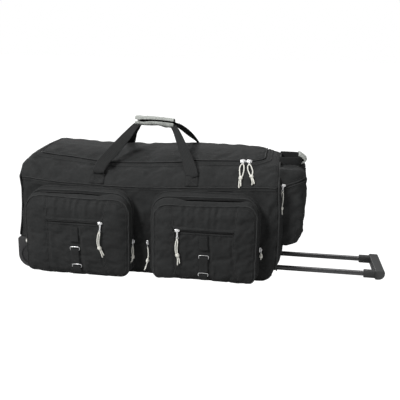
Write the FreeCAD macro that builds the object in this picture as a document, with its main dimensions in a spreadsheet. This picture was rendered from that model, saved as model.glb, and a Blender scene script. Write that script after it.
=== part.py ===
import FreeCAD, Part
import os

import Sketcher

# Rolling duffel bag. +X runs to the trolley grip, -Y is the pocket side, +Z is up.
# Origin: middle of the body, on the floor, under the centre runner. Millimetres.

doc = FreeCAD.newDocument("rolling_duffel")
sheet = doc.addObject("Spreadsheet::Sheet", "sheet")

SIZES = [
    ("half_len", 384.0), ("half_dep", 160.0), ("base_z", 4.0), ("wall", 3.0),
    ("seam_z", 278.0), ("fold_y", 122.0), ("fold_z", 308.0), ("zip_y", 84.0), ("zip_z", 334.0),
    ("crown_z", 350.0), ("crest_y", 95.0), ("crest_z", 352.0), ("hinge_y", 134.0), ("hinge_z", 338.0),
    ("back_z", 296.0), ("end_top_z", 350.0), ("wheel_top_z", 318.0), ("top_z", 354.0),
    ("belly_r", 25.0), ("handle_r", 55.0), ("wheelend_r", 40.0), ("panel_x", 350.0), ("low_z", 30.0),
    ("tape_w", 8.0), ("gap", 0.5), ("lid_x", 342.0),
    ("board_t", 3.0), ("board_z", 33.7), ("board_y", 150.0), ("board_lo", 296.0), ("board_hi", 364.0),
    ("rail_y", 68.0), ("rail_z", 24.0), ("rail_ro", 9.5), ("rail_ri", 8.5), ("rail_lo", 322.0),
    ("rail_hi", 388.0), ("bush_len", 29.0), ("flange_t", 3.0), ("flange_r", 12.0), ("bush_r", 7.6),
    ("pull_ro", 7.5), ("pull_ri", 6.5), ("pull_in", 352.0), ("pull_out", 672.0),
    ("plug_r", 8.4), ("plug_t", 14.0), ("plug_stem", 12.0),
    ("grip_x", 645.0), ("grip_r", 12.5), ("bar_x", 676.0), ("bar_w", 28.0), ("bar_lo", 11.5),
    ("bar_hi", 37.5), ("bar_y", 82.0), ("bar_round", 18.0), ("bar_edge", 4.0), ("screw_x", 656.0),
    ("screw_r", 1.6), ("screw_head", 3.4), ("screw_sink", 3.0),
    ("wheel_x", 348.0), ("wheel_r", 42.0), ("wheel_y", 126.0), ("wheel_w", 24.0), ("wheel_bore", 4.1),
    ("hub_r", 17.0), ("hub_sink", 2.0), ("axle_r", 4.0), ("axle_in", 112.0), ("axle_len", 46.0),
    ("well_in", 110.0), ("well_out", 160.0), ("well_lo_x", 390.0), ("well_hi_x", 300.0),
    ("well_top", 98.0), ("well_r", 39.5), ("slot_in", 125.0), ("slot_w", 26.0), ("slot_r", 45.0),
    ("rim_w", 8.0), ("rim_sink", 2.0), ("beam_x", 330.0), ("beam_lo", 12.5), ("beam_hi", 35.5),
    ("room", 0.4),
    ("runner_l", 600.0), ("runner_w", 16.0), ("runner_y", 110.0), ("runner_x", 60.0), ("mid_l", 500.0),
    ("pk_wall", 3.0), ("pk_back", 160.0), ("pk_split", 186.0), ("pk_front", 188.0),
    ("pk_face", 215.0), ("pk_lo", 16.0), ("pk_hi", 263.0), ("pk_r", 38.0), ("pk_foot_r", 16.0),
    ("lp_lo", -338.0), ("lp_hi", -31.0), ("rp_lo", 23.0), ("rp_hi", 337.0),
    ("lz_lo", -272.0), ("lz_hi", -104.0), ("lz_z", 173.0), ("rz_lo", 98.0), ("rz_hi", 270.0),
    ("rz_z", 167.0), ("fz_w", 12.0), ("fz_t", 1.2),
    ("ls_x", -187.0), ("rs_x", 187.0), ("ps_w", 26.0), ("ps_t", 2.0), ("ps_lo", 18.0), ("ps_hi", 158.0),
    ("ring_w", 31.0), ("ring_r", 1.5), ("ring_drop", 12.0), ("ring_up", 98.0), ("ring_dn", 48.0),
    ("ep_y", 130.0), ("ep_wall", 3.0), ("ep_x", 384.0), ("ep_out", 461.0), ("ep_bot_x", 431.0),
    ("ep_bot", 111.0), ("ep_join", 118.0), ("ep_side", 150.0), ("ep_top", 328.0), ("ep_top_in", 330.0),
    ("ep_za", 284.0), ("ep_zb", 312.0), ("ep_gap", 2.5), ("ep_tape", 6.0), ("ep_edge", 14.0),
    ("web_w", 38.0), ("web_t", 2.5), ("web_x", 140.0),
    ("an_lo", 2.0), ("an_hi", 32.0), ("an_t", 3.0),
    ("fh_y", -141.0), ("fh_z", 308.0), ("rh_y", 147.0), ("rh_z", 330.0),
    ("hold_z", 438.0), ("hold_y", 3.6), ("hold_x", 70.0), ("neck_a", 90.0), ("neck_b", 63.5),
    ("wrap_x", 62.0), ("wrap_y", 17.0), ("wrap_z", 21.5), ("wrap_t", 5.0), ("wrap_slit", 5.0),
    ("wrap_r", 9.0),
    ("eh_x", 384.5), ("eh_out", 452.0), ("eh_y", 55.0), ("eh_lo", 334.0), ("eh_t", 2.5), ("eh_w", 26.0),
    ("ew_y", 40.0), ("ew_a", 441.0), ("ew_b", 460.0), ("ew_lo", 331.5), ("ew_hi", 365.0),
    ("ew_cut", 2.0),
    ("sl_l", 12.0), ("sl_w", 8.5), ("sl_t", 4.4), ("sl_bridge", 6.0), ("sl_post", 3.4), ("sl_up", 2.4),
    ("tab_l", 13.0), ("tab_w", 5.0), ("tab_t", 1.4), ("cord_r", 2.0), ("cord_l", 34.0),
    ("knot_r", 4.0), ("tail_l", 16.0),
]
for row, (name, value) in enumerate(SIZES, 1):
    sheet.set("A%d" % row, name)
    sheet.set("B%d" % row, repr(value))
    sheet.setAlias("B%d" % row, name)
doc.recompute()

WORDS = sorted((name for name, value in SIZES), key=len, reverse=True)
NODES = {}


def bind(text):
    """An expression with every size name written as a cell of the sheet."""
    out = ""
    word = ""
    for ch in str(text) + " ":
        if ch.isalnum() or ch in "_.":
            word += ch
            continue
        out += ("sheet." + word) if word in WORDS else word
        word = ""
        out += ch
    return out.strip()


def node(obj, name):
    """The finished object of one sub-part."""
    obj.Label = name
    NODES[name] = obj
    return obj


def own_plane(body, role):
    for feature in body.Origin.OriginFeatures:
        if feature.Role == role:
            return feature
    raise ValueError(role)


def new_sketch(body, role, level):
    """A sketch on one of the body's own planes, lifted along its normal by an expression."""
    sk = body.newObject("Sketcher::SketchObject", body.Name + "_sk")
    sk.AttachmentSupport = [(own_plane(body, role), "")]
    sk.MapMode = "FlatFace"
    sk.setExpression("AttachmentOffset.Base.z", bind(level))
    return sk


def value_of(text):
    table = dict(SIZES)
    total = bind(text)
    for name in WORDS:
        total = total.replace("sheet." + name, "(%r)" % table[name])
    return FreeCAD.Units.Quantity(total).Value


def draw(sk, points):
    """A closed polygon whose corners are all bound by expressions."""
    start = sk.GeometryCount
    count = len(points)
    spots = [FreeCAD.Vector(value_of(u), value_of(v), 0) for u, v in points]
    for i in range(count):
        sk.addGeometry(Part.LineSegment(spots[i], spots[(i + 1) % count]))
    for i in range(count):
        follow = start + (i + 1) % count
        sk.addConstraint(Sketcher.Constraint("Coincident", start + i, 2, follow, 1))
    for i, (u, v) in enumerate(points):
        for kind, text, size in (("DistanceX", u, spots[i].x), ("DistanceY", v, spots[i].y)):
            c = sk.addConstraint(Sketcher.Constraint(kind, -1, 1, start + i, 1, size))
            sk.setExpression("Constraints[%d]" % c, bind(text))


def prism(name, role, level, length, points, rounds=()):
    """A padded polygon; rounds lists (corner numbers, radius) for edges along the pad."""
    body = doc.addObject("PartDesign::Body", name)
    sk = new_sketch(body, role, level)
    draw(sk, points)
    pad = body.newObject("PartDesign::Pad", name + "_pad")
    pad.Profile = sk
    pad.setExpression("Length", bind(length))
    doc.recompute()
    last = pad
    for n, (corners, radius) in enumerate(rounds):
        edges = []
        for k in corners:
            spot = FreeCAD.Vector(value_of(points[k][0]), value_of(points[k][1]), 0)
            spot = sk.Placement.multVec(spot)
            normal = sk.Placement.Rotation.multVec(FreeCAD.Vector(0, 0, 1))
            for i, edge in enumerate(last.Shape.Edges, 1):
                ends = [vertex.Point - spot for vertex in edge.Vertexes]
                if len(ends) == 2 and all(e.cross(normal).Length < 0.01 for e in ends):
                    edges.append("Edge%d" % i)
        fillet = body.newObject("PartDesign::Fillet", "%s_round%d" % (name, n))
        fillet.Base = (last, edges)
        fillet.setExpression("Radius", bind(radius))
        body.Tip = fillet
        doc.recompute()
        last = fillet
    return body


def block(name, x0, x1, y0, y1, z0, z1):
    """A plain box between bound limits."""
    obj = doc.addObject("Part::Box", name)
    for prop, lo, hi, axis in (("Length", x0, x1, "x"), ("Width", y0, y1, "y"), ("Height", z0, z1, "z")):
        obj.setExpression(prop, bind("(%s) - (%s)" % (hi, lo)))
        obj.setExpression("Placement.Base." + axis, bind(lo))
    return obj


TURN = {
    "x": FreeCAD.Rotation(FreeCAD.Vector(0, 1, 0), 90),
    "y": FreeCAD.Rotation(FreeCAD.Vector(1, 0, 0), -90),
    "z": FreeCAD.Rotation(),
}


def rod(name, axis, radius, length, x, y, z):
    """A cylinder starting at a bound point and running along +axis."""
    obj = doc.addObject("Part::Cylinder", name)
    obj.Placement = FreeCAD.Placement(FreeCAD.Vector(), TURN[axis])
    obj.setExpression("Radius", bind(radius))
    obj.setExpression("Height", bind(length))
    for letter, text in (("x", x), ("y", y), ("z", z)):
        obj.setExpression("Placement.Base." + letter, bind(text))
    return obj


def ball(name, radius, x, y, z):
    obj = doc.addObject("Part::Sphere", name)
    obj.setExpression("Radius", bind(radius))
    for letter, text in (("x", x), ("y", y), ("z", z)):
        obj.setExpression("Placement.Base." + letter, bind(text))
    return obj


def cut(name, base, tool):
    obj = doc.addObject("Part::Cut", name)
    obj.Base = base
    obj.Tool = tool
    return obj


def fuse(name, *shapes):
    obj = doc.addObject("Part::MultiFuse", name)
    obj.Shapes = list(shapes)
    return obj


def common(name, *shapes):
    obj = doc.addObject("Part::MultiCommon", name)
    obj.Shapes = list(shapes)
    return obj


def group(name, *shapes):
    obj = doc.addObject("Part::Compound", name)
    obj.Links = list(shapes)
    return obj


def mirrored(name, source):
    """The same solid on the other side of the bag's long middle plane."""
    obj = doc.addObject("Part::Mirroring", name)
    obj.Source = source
    obj.Base = FreeCAD.Vector(0, 0, 0)
    obj.Normal = FreeCAD.Vector(0, 1, 0)
    return obj


# ---------------------------------------------------------------- fabric shell

def bag_form(tag, w):
    """Cross-section run along X, trimmed by the side outline; w is the inset of every face."""
    section = [
        ("-half_dep + %s" % w, "base_z + %s" % w),
        ("half_dep - %s" % w, "base_z + %s" % w),
        ("half_dep - %s" % w, "back_z - 0.3 * %s" % w),
        ("hinge_y - 0.5 * %s" % w, "hinge_z - %s" % w),
        ("crest_y", "crest_z - %s" % w),
        ("0", "crown_z - %s" % w),
        ("-zip_y + 0.2 * %s" % w, "zip_z - %s" % w),
        ("-fold_y + 0.4 * %s" % w, "fold_z - %s" % w),
        ("-half_dep + %s" % w, "seam_z - 0.4 * %s" % w),
    ]
    outline = [
        ("-half_len + %s" % w, "base_z + %s" % w),
        ("half_len - %s" % w, "base_z + %s" % w),
        ("half_len - %s" % w, "end_top_z - 0.5 * %s" % w),
        ("panel_x - 5", "top_z + 6 - 0.8 * %s" % w),
        ("-lid_x + 12", "top_z + 6 - 0.8 * %s" % w),
        ("-half_len + %s" % w, "wheel_top_z - 0.4 * %s" % w),
    ]
    run = prism(tag + "_run", "YZ_Plane", "-half_len - 10", "2 * half_len + 20", section,
                [((0, 1), "belly_r - %s" % w)])
    side = prism(tag + "_side", "XZ_Plane", "-half_dep - 10", "2 * half_dep + 20", outline,
                 [((1,), "handle_r - %s" % w), ((0,), "wheelend_r - %s" % w), ((2, 5), "15")])
    return common(tag, run, side)


outer = bag_form("outer_form", "0")
inner = bag_form("inner_form", "wall")
hollow = cut("hollow_form", outer, inner)
corner_front = block("corner_room_front", "-half_len - 20", "-well_hi_x + room",
                     "-half_dep - 10", "-well_in + room", "base_z - 10", "well_top + room")
corner_rear = mirrored("corner_room_rear", corner_front)
mouth_a = rod("rail_mouth_a", "x", "rail_ro + room", "80", "half_len - 50", "-rail_y", "rail_z")
mouth_b = rod("rail_mouth_b", "x", "rail_ro + room", "80", "half_len - 50", "rail_y", "rail_z")
rooms = fuse("shell_rooms", corner_front, corner_rear, mouth_a, mouth_b)
shell = cut("shell_form", hollow, rooms)

FAR = "half_len + 30"
PANELS = [
    ("bottom_panel", "-panel_x", "panel_x", "-half_dep - 1", "half_dep + 1", "0", "low_z"),
    ("front_panel", "-panel_x", "panel_x", "-half_dep - 1", "-100", "low_z", "seam_z"),
    ("back_panel", "-panel_x", "panel_x", "100", "half_dep + 1", "low_z", "back_z"),
    ("wheel_end_panel", "-half_len - 1", "-panel_x", "-half_dep - 1", "half_dep + 1", "0", "top_z + 9"),
    ("handle_end_panel", "panel_x", "half_len + 1", "-half_dep - 1", "half_dep + 1", "0", "top_z + 9"),
    ("front_yoke", "-panel_x", "panel_x", "-half_dep - 1", "-zip_y - tape_w", "seam_z", "top_z"),
    ("back_yoke", "-panel_x", "panel_x", "hinge_y", "half_dep + 1", "back_z", "top_z"),
    ("lid_panel", "-lid_x + tape_w", "lid_x - tape_w", "-zip_y + tape_w", "hinge_y - gap",
     "seam_z", "top_z + 9"),
]
for label, x0, x1, y0, y1, z0, z1 in PANELS:
    zone = block(label + "_zone", x0, x1, y0, y1, z0, z1)
    node(common(label + "_cut", shell, zone), label)

fixed_out = block("fixed_tape_out", "-panel_x", "panel_x", "-zip_y - tape_w", "hinge_y", "seam_z", "top_z + 9")
fixed_in = block("fixed_tape_in", "-lid_x", "lid_x", "-zip_y", "hinge_y + 1", "seam_z - 1", "top_z + 19")
node(common("fixed_tape_cut", shell, cut("fixed_tape_zone", fixed_out, fixed_in)), "lid_zip_fixed_tape")
move_out = block("lid_tape_out", "-lid_x + gap", "lid_x - gap", "-zip_y + gap", "hinge_y - gap",
                 "seam_z", "top_z + 9")
move_in = block("lid_tape_in", "-lid_x + tape_w", "lid_x - tape_w", "-zip_y + tape_w", "hinge_y + 1",
                "seam_z - 1", "top_z + 19")
node(common("lid_tape_cut", shell, cut("lid_tape_zone", move_out, move_in)), "lid_zip_lid_tape")

# stiffener board standing on the two rails
node(block("board", "-board_lo", "board_hi", "-board_y", "board_y", "board_z", "board_z + board_t"),
     "base_board")

# ---------------------------------------------------------------- wheel end

well_outline = [
    ("-well_lo_x", "wheel_r - well_r"),
    ("-well_hi_x", "wheel_r - well_r"),
    ("-well_hi_x", "well_top"),
    ("-well_lo_x", "well_top"),
]
well_body = prism("well_block", "XZ_Plane", "well_in", "well_out - well_in", well_outline,
                  [((0,), "well_r - 0.5"), ((3,), "10")])
slot_round = rod("slot_round", "y", "slot_r", "slot_w", "-wheel_x", "-slot_in - slot_w", "wheel_r")
slot_low = block("slot_low", "-wheel_x - slot_r", "-wheel_x + slot_r", "-slot_in - slot_w", "-slot_in",
                 "-1", "wheel_r")
slot_left = block("slot_left", "-well_lo_x - 1", "-wheel_x", "-slot_in - slot_w", "-slot_in", "-1", "wheel_r")
axle_hole = rod("axle_hole", "y", "axle_r", "axle_len", "-wheel_x", "-axle_in - axle_len", "wheel_r")
rim_round = rod("rim_round", "y", "well_r - rim_w", "rim_sink", "-wheel_x", "-well_out", "wheel_r")
well_tools = fuse("well_tools", slot_round, slot_low, slot_left, axle_hole, rim_round)
well_front = cut("well_front", well_body, well_tools)
well_rear = mirrored("well_rear", well_front)
beam = block("beam", "-beam_x", "-well_hi_x", "-well_in - 1", "well_in + 1", "beam_lo", "beam_hi")
socket_a = rod("socket_a", "x", "rail_ro", "rail_lo", "-rail_lo", "-rail_y", "rail_z")
socket_b = rod("socket_b", "x", "rail_ro", "rail_lo", "-rail_lo", "rail_y", "rail_z")
chassis_raw = fuse("chassis_raw", well_front, well_rear, beam)
node(cut("chassis_cut", chassis_raw, fuse("sockets", socket_a, socket_b)), "wheel_chassis")

for side, sign in (("front", "-"), ("rear", "")):
    base_y = "-wheel_y - wheel_w" if side == "front" else "wheel_y"
    tyre = rod(side + "_tyre", "y", "wheel_r", "wheel_w", "-wheel_x", base_y, "wheel_r")
    bore = rod(side + "_bore", "y", "wheel_bore", "wheel_w", "-wheel_x", base_y, "wheel_r")
    dish_in = rod(side + "_dish", "y", "hub_r + 10", "hub_sink", "-wheel_x",
                  base_y if side == "front" else "wheel_y + wheel_w - hub_sink", "wheel_r")
    boss = rod(side + "_boss", "y", "hub_r - 6", "hub_sink", "-wheel_x",
               base_y if side == "front" else "wheel_y + wheel_w - hub_sink", "wheel_r")
    dish = cut(side + "_dish_ring", dish_in, boss)
    node(cut(side + "_wheel_cut", tyre, fuse(side + "_wheel_tools", bore, dish)), side + "_wheel")
axle_a = rod("axle_a", "y", "axle_r", "axle_len", "-wheel_x", "-axle_in - axle_len", "wheel_r")
node(group("axle_pair", axle_a, mirrored("axle_b", axle_a)), "axles")

# ---------------------------------------------------------------- floor runners

run_a = block("run_a", "-runner_l / 2 + runner_x", "runner_l / 2 - 20", "-runner_y - runner_w / 2",
              "-runner_y + runner_w / 2", "0", "base_z")
node(block("run_mid", "-mid_l / 2", "mid_l / 2", "-runner_w / 2", "runner_w / 2", "0", "base_z"),
     "centre_runner")
node(group("run_pair", run_a, mirrored("run_b", run_a)), "side_runners")

# ---------------------------------------------------------------- trolley

def tube(name, x0, length, ro, ri, y):
    return cut(name, rod(name + "_o", "x", ro, length, x0, y, "rail_z"),
               rod(name + "_i", "x", ri, "(%s) + 2" % length, "(%s) - 1" % x0, y, "rail_z"))


rail_a = tube("rail_a", "-rail_lo", "rail_lo + rail_hi", "rail_ro", "rail_ri", "-rail_y")
node(group("rail_pair", rail_a, mirrored("rail_b", rail_a)), "rail_tubes")

bush_a = cut("bush_a", fuse("bush_out",
                            rod("bush_in", "x", "rail_ri", "bush_len", "rail_hi - bush_len", "-rail_y", "rail_z"),
                            rod("bush_lip", "x", "flange_r", "flange_t", "rail_hi", "-rail_y", "rail_z")),
             rod("bush_hole", "x", "bush_r", "bush_len + flange_t + 2", "rail_hi - bush_len - 1",
                 "-rail_y", "rail_z"))
node(group("bush_pair", bush_a, mirrored("bush_b", bush_a)), "rail_bushes")

pin_a = rod("pin_hole", "z", "screw_r", "bar_hi", "screw_x", "-rail_y", "0")
pull_a = cut("pull_a", tube("pull_raw", "pull_in", "pull_out - pull_in", "pull_ro", "pull_ri", "-rail_y"), pin_a)
node(group("pull_pair", pull_a, mirrored("pull_b", pull_a)), "pull_tubes")

plug_a = fuse("plug_a", rod("plug_head", "x", "plug_r", "plug_t", "pull_in - plug_t", "-rail_y", "rail_z"),
              rod("plug_pin", "x", "pull_ri", "plug_stem", "pull_in", "-rail_y", "rail_z"))
node(group("plug_pair", plug_a, mirrored("plug_b", plug_a)), "tube_plugs")

bar = prism("grip_bar", "XZ_Plane", "-bar_y", "2 * bar_y",
            [("bar_x", "bar_lo"), ("bar_x + bar_w", "bar_lo"), ("bar_x + bar_w", "bar_hi"), ("bar_x", "bar_hi")],
            [((1,), "bar_round"), ((0, 2, 3), "bar_edge")])
sleeve_a = rod("sleeve_a", "x", "grip_r", "bar_x + 6 - grip_x", "grip_x", "-rail_y", "rail_z")
sleeve_b = rod("sleeve_b", "x", "grip_r", "bar_x + 6 - grip_x", "grip_x", "rail_y", "rail_z")
seat_a = rod("seat_a", "x", "pull_ro", "pull_out - grip_x + 1", "grip_x - 1", "-rail_y", "rail_z")
head_a = rod("head_a", "z", "screw_head", "screw_sink + 10", "screw_x", "-rail_y",
             "rail_z + grip_r - screw_sink")
grip_holes = fuse("grip_holes_a", seat_a, pin_a, head_a)
grip_tools = fuse("grip_tools", grip_holes, mirrored("grip_holes_b", grip_holes))
node(cut("grip_cut", fuse("grip_raw", bar, sleeve_a, sleeve_b), grip_tools), "trolley_grip")

screw_one = fuse("screw_one",
                 rod("screw_shank", "z", "screw_r", "2 * grip_r - screw_sink - 2", "screw_x", "-rail_y",
                     "rail_z - grip_r + 2"),
                 rod("screw_cap", "z", "screw_head - 0.1", "2", "screw_x", "-rail_y",
                     "rail_z + grip_r - screw_sink"))
node(group("screw_pair", screw_one, mirrored("screw_two", screw_one)), "grip_screws")

# ---------------------------------------------------------------- front pockets

for side, lo, hi in (("left", "lp_lo", "lp_hi"), ("right", "rp_lo", "rp_hi")):
    rect = [(lo, "pk_lo"), (hi, "pk_lo"), (hi, "pk_hi"), (lo, "pk_hi")]
    inside = [("%s + pk_wall" % lo, "pk_lo + pk_wall"), ("%s - pk_wall" % hi, "pk_lo + pk_wall"),
              ("%s - pk_wall" % hi, "pk_hi - pk_wall"), ("%s + pk_wall" % lo, "pk_hi - pk_wall")]
    bends = [((0, 1), "pk_foot_r"), ((2, 3), "pk_r")]
    tight = [((0, 1), "pk_foot_r - pk_wall"), ((2, 3), "pk_r - pk_wall")]
    fr_out = prism(side + "_gusset_out", "XZ_Plane", "pk_back", "pk_split - pk_back", rect, bends)
    fr_in = prism(side + "_gusset_in", "XZ_Plane", "pk_back - 1", "pk_split - pk_back + 2", inside, tight)
    node(cut(side + "_gusset_cut", fr_out, fr_in), side + "_pocket_gusset")
    fl_out = prism(side + "_flap_out", "XZ_Plane", "pk_front", "pk_face - pk_front", rect, bends)
    fl_in = prism(side + "_flap_in", "XZ_Plane", "pk_front - 1", "pk_face - pk_front - pk_wall + 1",
                  inside, tight)
    node(cut(side + "_flap_cut", fl_out, fl_in), side + "_pocket_flap")
    z = "lz_z" if side == "left" else "rz_z"
    a, b = ("lz_lo", "lz_hi") if side == "left" else ("rz_lo", "rz_hi")
    node(block(side + "_face_tape", a, b, "-pk_face - fz_t", "-pk_face", z + " - fz_w / 2", z + " + fz_w / 2"),
         side + "_face_zip")
    mid = "ls_x" if side == "left" else "rs_x"
    node(block(side + "_strap_web", mid + " - ps_w / 2", mid + " + ps_w / 2", "-pk_face - ps_t", "-pk_face",
               "ps_lo", "ps_hi"), side + "_pocket_strap")
    loops = []
    for level in ("ring_up", "ring_dn"):
        tag = side + "_" + level
        y = "-pk_face - ps_t - ring_r"
        solids = []
        for n, z in enumerate((level, level + " - ring_drop")):
            solids.append(rod("%s_bar%d" % (tag, n), "x", "ring_r", "ring_w", mid + " - ring_w / 2", y, z))
        for n, x in enumerate((mid + " - ring_w / 2", mid + " + ring_w / 2")):
            solids.append(rod("%s_arm%d" % (tag, n), "z", "ring_r", "ring_drop", x, y, level + " - ring_drop"))
            solids.append(ball("%s_cu%d" % (tag, n), "ring_r", x, y, level))
            solids.append(ball("%s_cd%d" % (tag, n), "ring_r", x, y, level + " - ring_drop"))
        loops.append(fuse(tag, *solids))
    node(group(side + "_ring_pair", *loops), side + "_strap_rings")

# ---------------------------------------------------------------- end pocket

def ep_block(name, points, w, rounds=()):
    return prism(name, "XZ_Plane", "-ep_y + %s" % w, "2 * ep_y - 2 * (%s)" % w, points, rounds)


low_out = ep_block("ep_low_out", [("ep_x", "ep_join"), ("ep_bot_x", "ep_bot"), ("ep_out", "ep_side"),
                                  ("ep_out", "ep_zb"), ("ep_x", "ep_za")], "0", [((1, 2), "ep_edge")])
low_in = ep_block("ep_low_in", [("ep_x - 1", "ep_join + ep_wall"), ("ep_bot_x", "ep_bot + ep_wall"),
                                ("ep_out - ep_wall", "ep_side + 1"), ("ep_out - ep_wall", "ep_zb + 5"),
                                ("ep_x - 1", "ep_za + 5")], "ep_wall", [((1, 2), "ep_edge - ep_wall")])
node(cut("ep_low_cut", low_out, low_in), "end_pocket")
cap_out = ep_block("ep_cap_out", [("ep_x", "ep_za + ep_gap + ep_tape"), ("ep_out", "ep_zb + ep_gap + ep_tape"),
                                  ("ep_out", "ep_top"), ("ep_x", "ep_top_in")], "0", [((2,), "6")])
cap_in = ep_block("ep_cap_in", [("ep_x - 1", "ep_za - 3"), ("ep_out - ep_wall", "ep_zb - 3"),
                                ("ep_out - ep_wall", "ep_top - ep_wall"), ("ep_x - 1", "ep_top_in - ep_wall")],
                  "ep_wall", [((2,), "3")])
node(cut("ep_cap_cut", cap_out, cap_in), "end_pocket_cap")
tape_out = ep_block("ep_tape_out", [("ep_x", "ep_za + ep_gap"), ("ep_out", "ep_zb + ep_gap"),
                                    ("ep_out", "ep_zb + ep_gap + ep_tape"), ("ep_x", "ep_za + ep_gap + ep_tape")],
                    "0")
tape_in = ep_block("ep_tape_in", [("ep_x - 1", "ep_za"), ("ep_out - ep_wall", "ep_zb"),
                                  ("ep_out - ep_wall", "ep_zb + 12"), ("ep_x - 1", "ep_za + 12")], "ep_wall")
node(cut("ep_tape_cut", tape_out, tape_in), "end_pocket_zip")

# ---------------------------------------------------------------- carry handles

FRONT_LEN = "sqrt((fold_y - half_dep) ^ 2 + (fold_z - seam_z) ^ 2)"
BACK_LEN = "sqrt((half_dep - hinge_y) ^ 2 + (hinge_z - back_z) ^ 2)"


def slope_patch(name, x, y0, z0, dy, dz, out_y, out_z):
    """A webbing patch lying on a sloped panel: from an_lo to an_hi up the slope, an_t thick."""
    def spot(along, out):
        return ("(%s) + (%s) * %s + (%s) * %s" % (y0, along, dy, out, out_y),
                "(%s) + (%s) * %s + (%s) * %s" % (z0, along, dz, out, out_z))
    pts = [spot("an_lo", "0"), spot("an_hi", "0"), spot("an_hi", "an_t"), spot("an_lo", "an_t")]
    return prism(name, "YZ_Plane", "%s - web_w / 2" % x, "web_w", pts)


F_DY = "((half_dep - fold_y) / %s)" % FRONT_LEN
F_DZ = "((fold_z - seam_z) / %s)" % FRONT_LEN
B_DY = "((hinge_y - half_dep) / %s)" % BACK_LEN
B_DZ = "((hinge_z - back_z) / %s)" % BACK_LEN
patches = []
for n, x in enumerate(("-web_x", "web_x")):
    patches.append(slope_patch("front_patch%d" % n, x, "-half_dep", "seam_z", F_DY, F_DZ,
                               "(-1) * " + F_DZ, F_DY))
    patches.append(slope_patch("rear_patch%d" % n, x, "half_dep", "back_z", B_DY, B_DZ,
                               B_DZ, "(-1) * " + B_DY))
node(group("patch_group", *patches), "carry_anchors")


def leg(name, x_sign, y0, z0, y1):
    """One slanting webbing leg: the side view is a thin band, the front view narrows upward."""
    band = prism(name + "_band", "YZ_Plane", "-half_len", "2 * half_len",
                 [(y0, z0), (y1, "hold_z"), (y1, "hold_z + web_t * 1.4"), (y0, "%s + web_t * 1.4" % z0)])
    front = prism(name + "_view", "XZ_Plane", "-half_dep", "2 * half_dep",
                  [("%s(web_x + web_w / 2)" % x_sign, "%s - 1" % z0),
                   ("%s(web_x - web_w / 2)" % x_sign, "%s - 1" % z0),
                   ("%sneck_b" % x_sign, "hold_z + 8"),
                   ("%sneck_a" % x_sign, "hold_z + 8")])
    return common(name, band, front)


for side, y0, z0, y1 in (("front", "fh_y", "fh_z", "-hold_y"), ("rear", "rh_y", "rh_z", "hold_y")):
    legs = [leg("%s_leg%d" % (side, n), s, y0, z0, y1) for n, s in enumerate(("-", ""))]
    inner_y, outer_y = ("-hold_y - web_t", "-hold_y") if side == "front" else ("hold_y", "hold_y + web_t")
    hold = block(side + "_hold", "-hold_x", "hold_x", inner_y, outer_y,
                 "hold_z - web_w / 2", "hold_z + web_w / 2")
    node(fuse(side + "_strap_fuse", hold, *legs), side + "_carry_strap")

wrap_out = prism("wrap_out", "YZ_Plane", "-wrap_x", "2 * wrap_x",
                 [("-wrap_y", "hold_z - wrap_z - 3"), ("wrap_y", "hold_z - wrap_z - 3"),
                  ("wrap_y", "hold_z + wrap_z + 3"), ("-wrap_y", "hold_z + wrap_z + 3")],
                 [((0, 1, 2, 3), "wrap_r")])
wrap_in = block("wrap_in", "-wrap_x - 1", "wrap_x + 1", "-wrap_y + wrap_t", "wrap_y - wrap_t",
                "hold_z - web_w / 2 - 0.5", "hold_z + web_w / 2 + 0.5")
wrap_gap = block("wrap_gap", "-wrap_x - 1", "wrap_x + 1", "-wrap_y - 1", "0",
                 "hold_z - wrap_slit / 2", "hold_z + wrap_slit / 2")
node(cut("wrap_cut", wrap_out, fuse("wrap_tools", wrap_in, wrap_gap)), "carry_wrap")

# end grab handle
loop_out = prism("eh_out", "XY_Plane", "eh_lo", "eh_w",
                 [("eh_x", "-eh_y"), ("eh_out", "-eh_y"), ("eh_out", "eh_y"), ("eh_x", "eh_y")],
                 [((1, 2), "18")])
loop_in = prism("eh_in", "XY_Plane", "eh_lo - 1", "eh_w + 2",
                [("eh_x - 1", "-eh_y + eh_t"), ("eh_out - eh_t", "-eh_y + eh_t"),
                 ("eh_out - eh_t", "eh_y - eh_t"), ("eh_x - 1", "eh_y - eh_t")],
                [((1, 2), "18 - eh_t")])
node(cut("eh_cut", loop_out, loop_in), "end_handle_strap")
ew_out = prism("ew_out", "XZ_Plane", "-ew_y", "2 * ew_y",
               [("ew_a", "ew_lo"), ("ew_b", "ew_lo"), ("ew_b", "ew_hi"), ("ew_a", "ew_hi")],
               [((0, 1, 2, 3), "5")])
ew_in = block("ew_in", "eh_out - eh_t - 0.5", "eh_out + 0.5", "-ew_y - 1", "ew_y + 1",
              "eh_lo - 0.5", "eh_lo + eh_w + 0.5")
node(cut("ew_cut_shape", ew_out, ew_in), "end_handle_wrap")

# ---------------------------------------------------------------- zip sliders and cord pulls
# rows: name, travel axis, outward face (axis and sign), centre x, y, z of the slider's foot,
# lean of the pull from straight down (degrees about X), cord length factor, shift of the pull (y, z)

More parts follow.
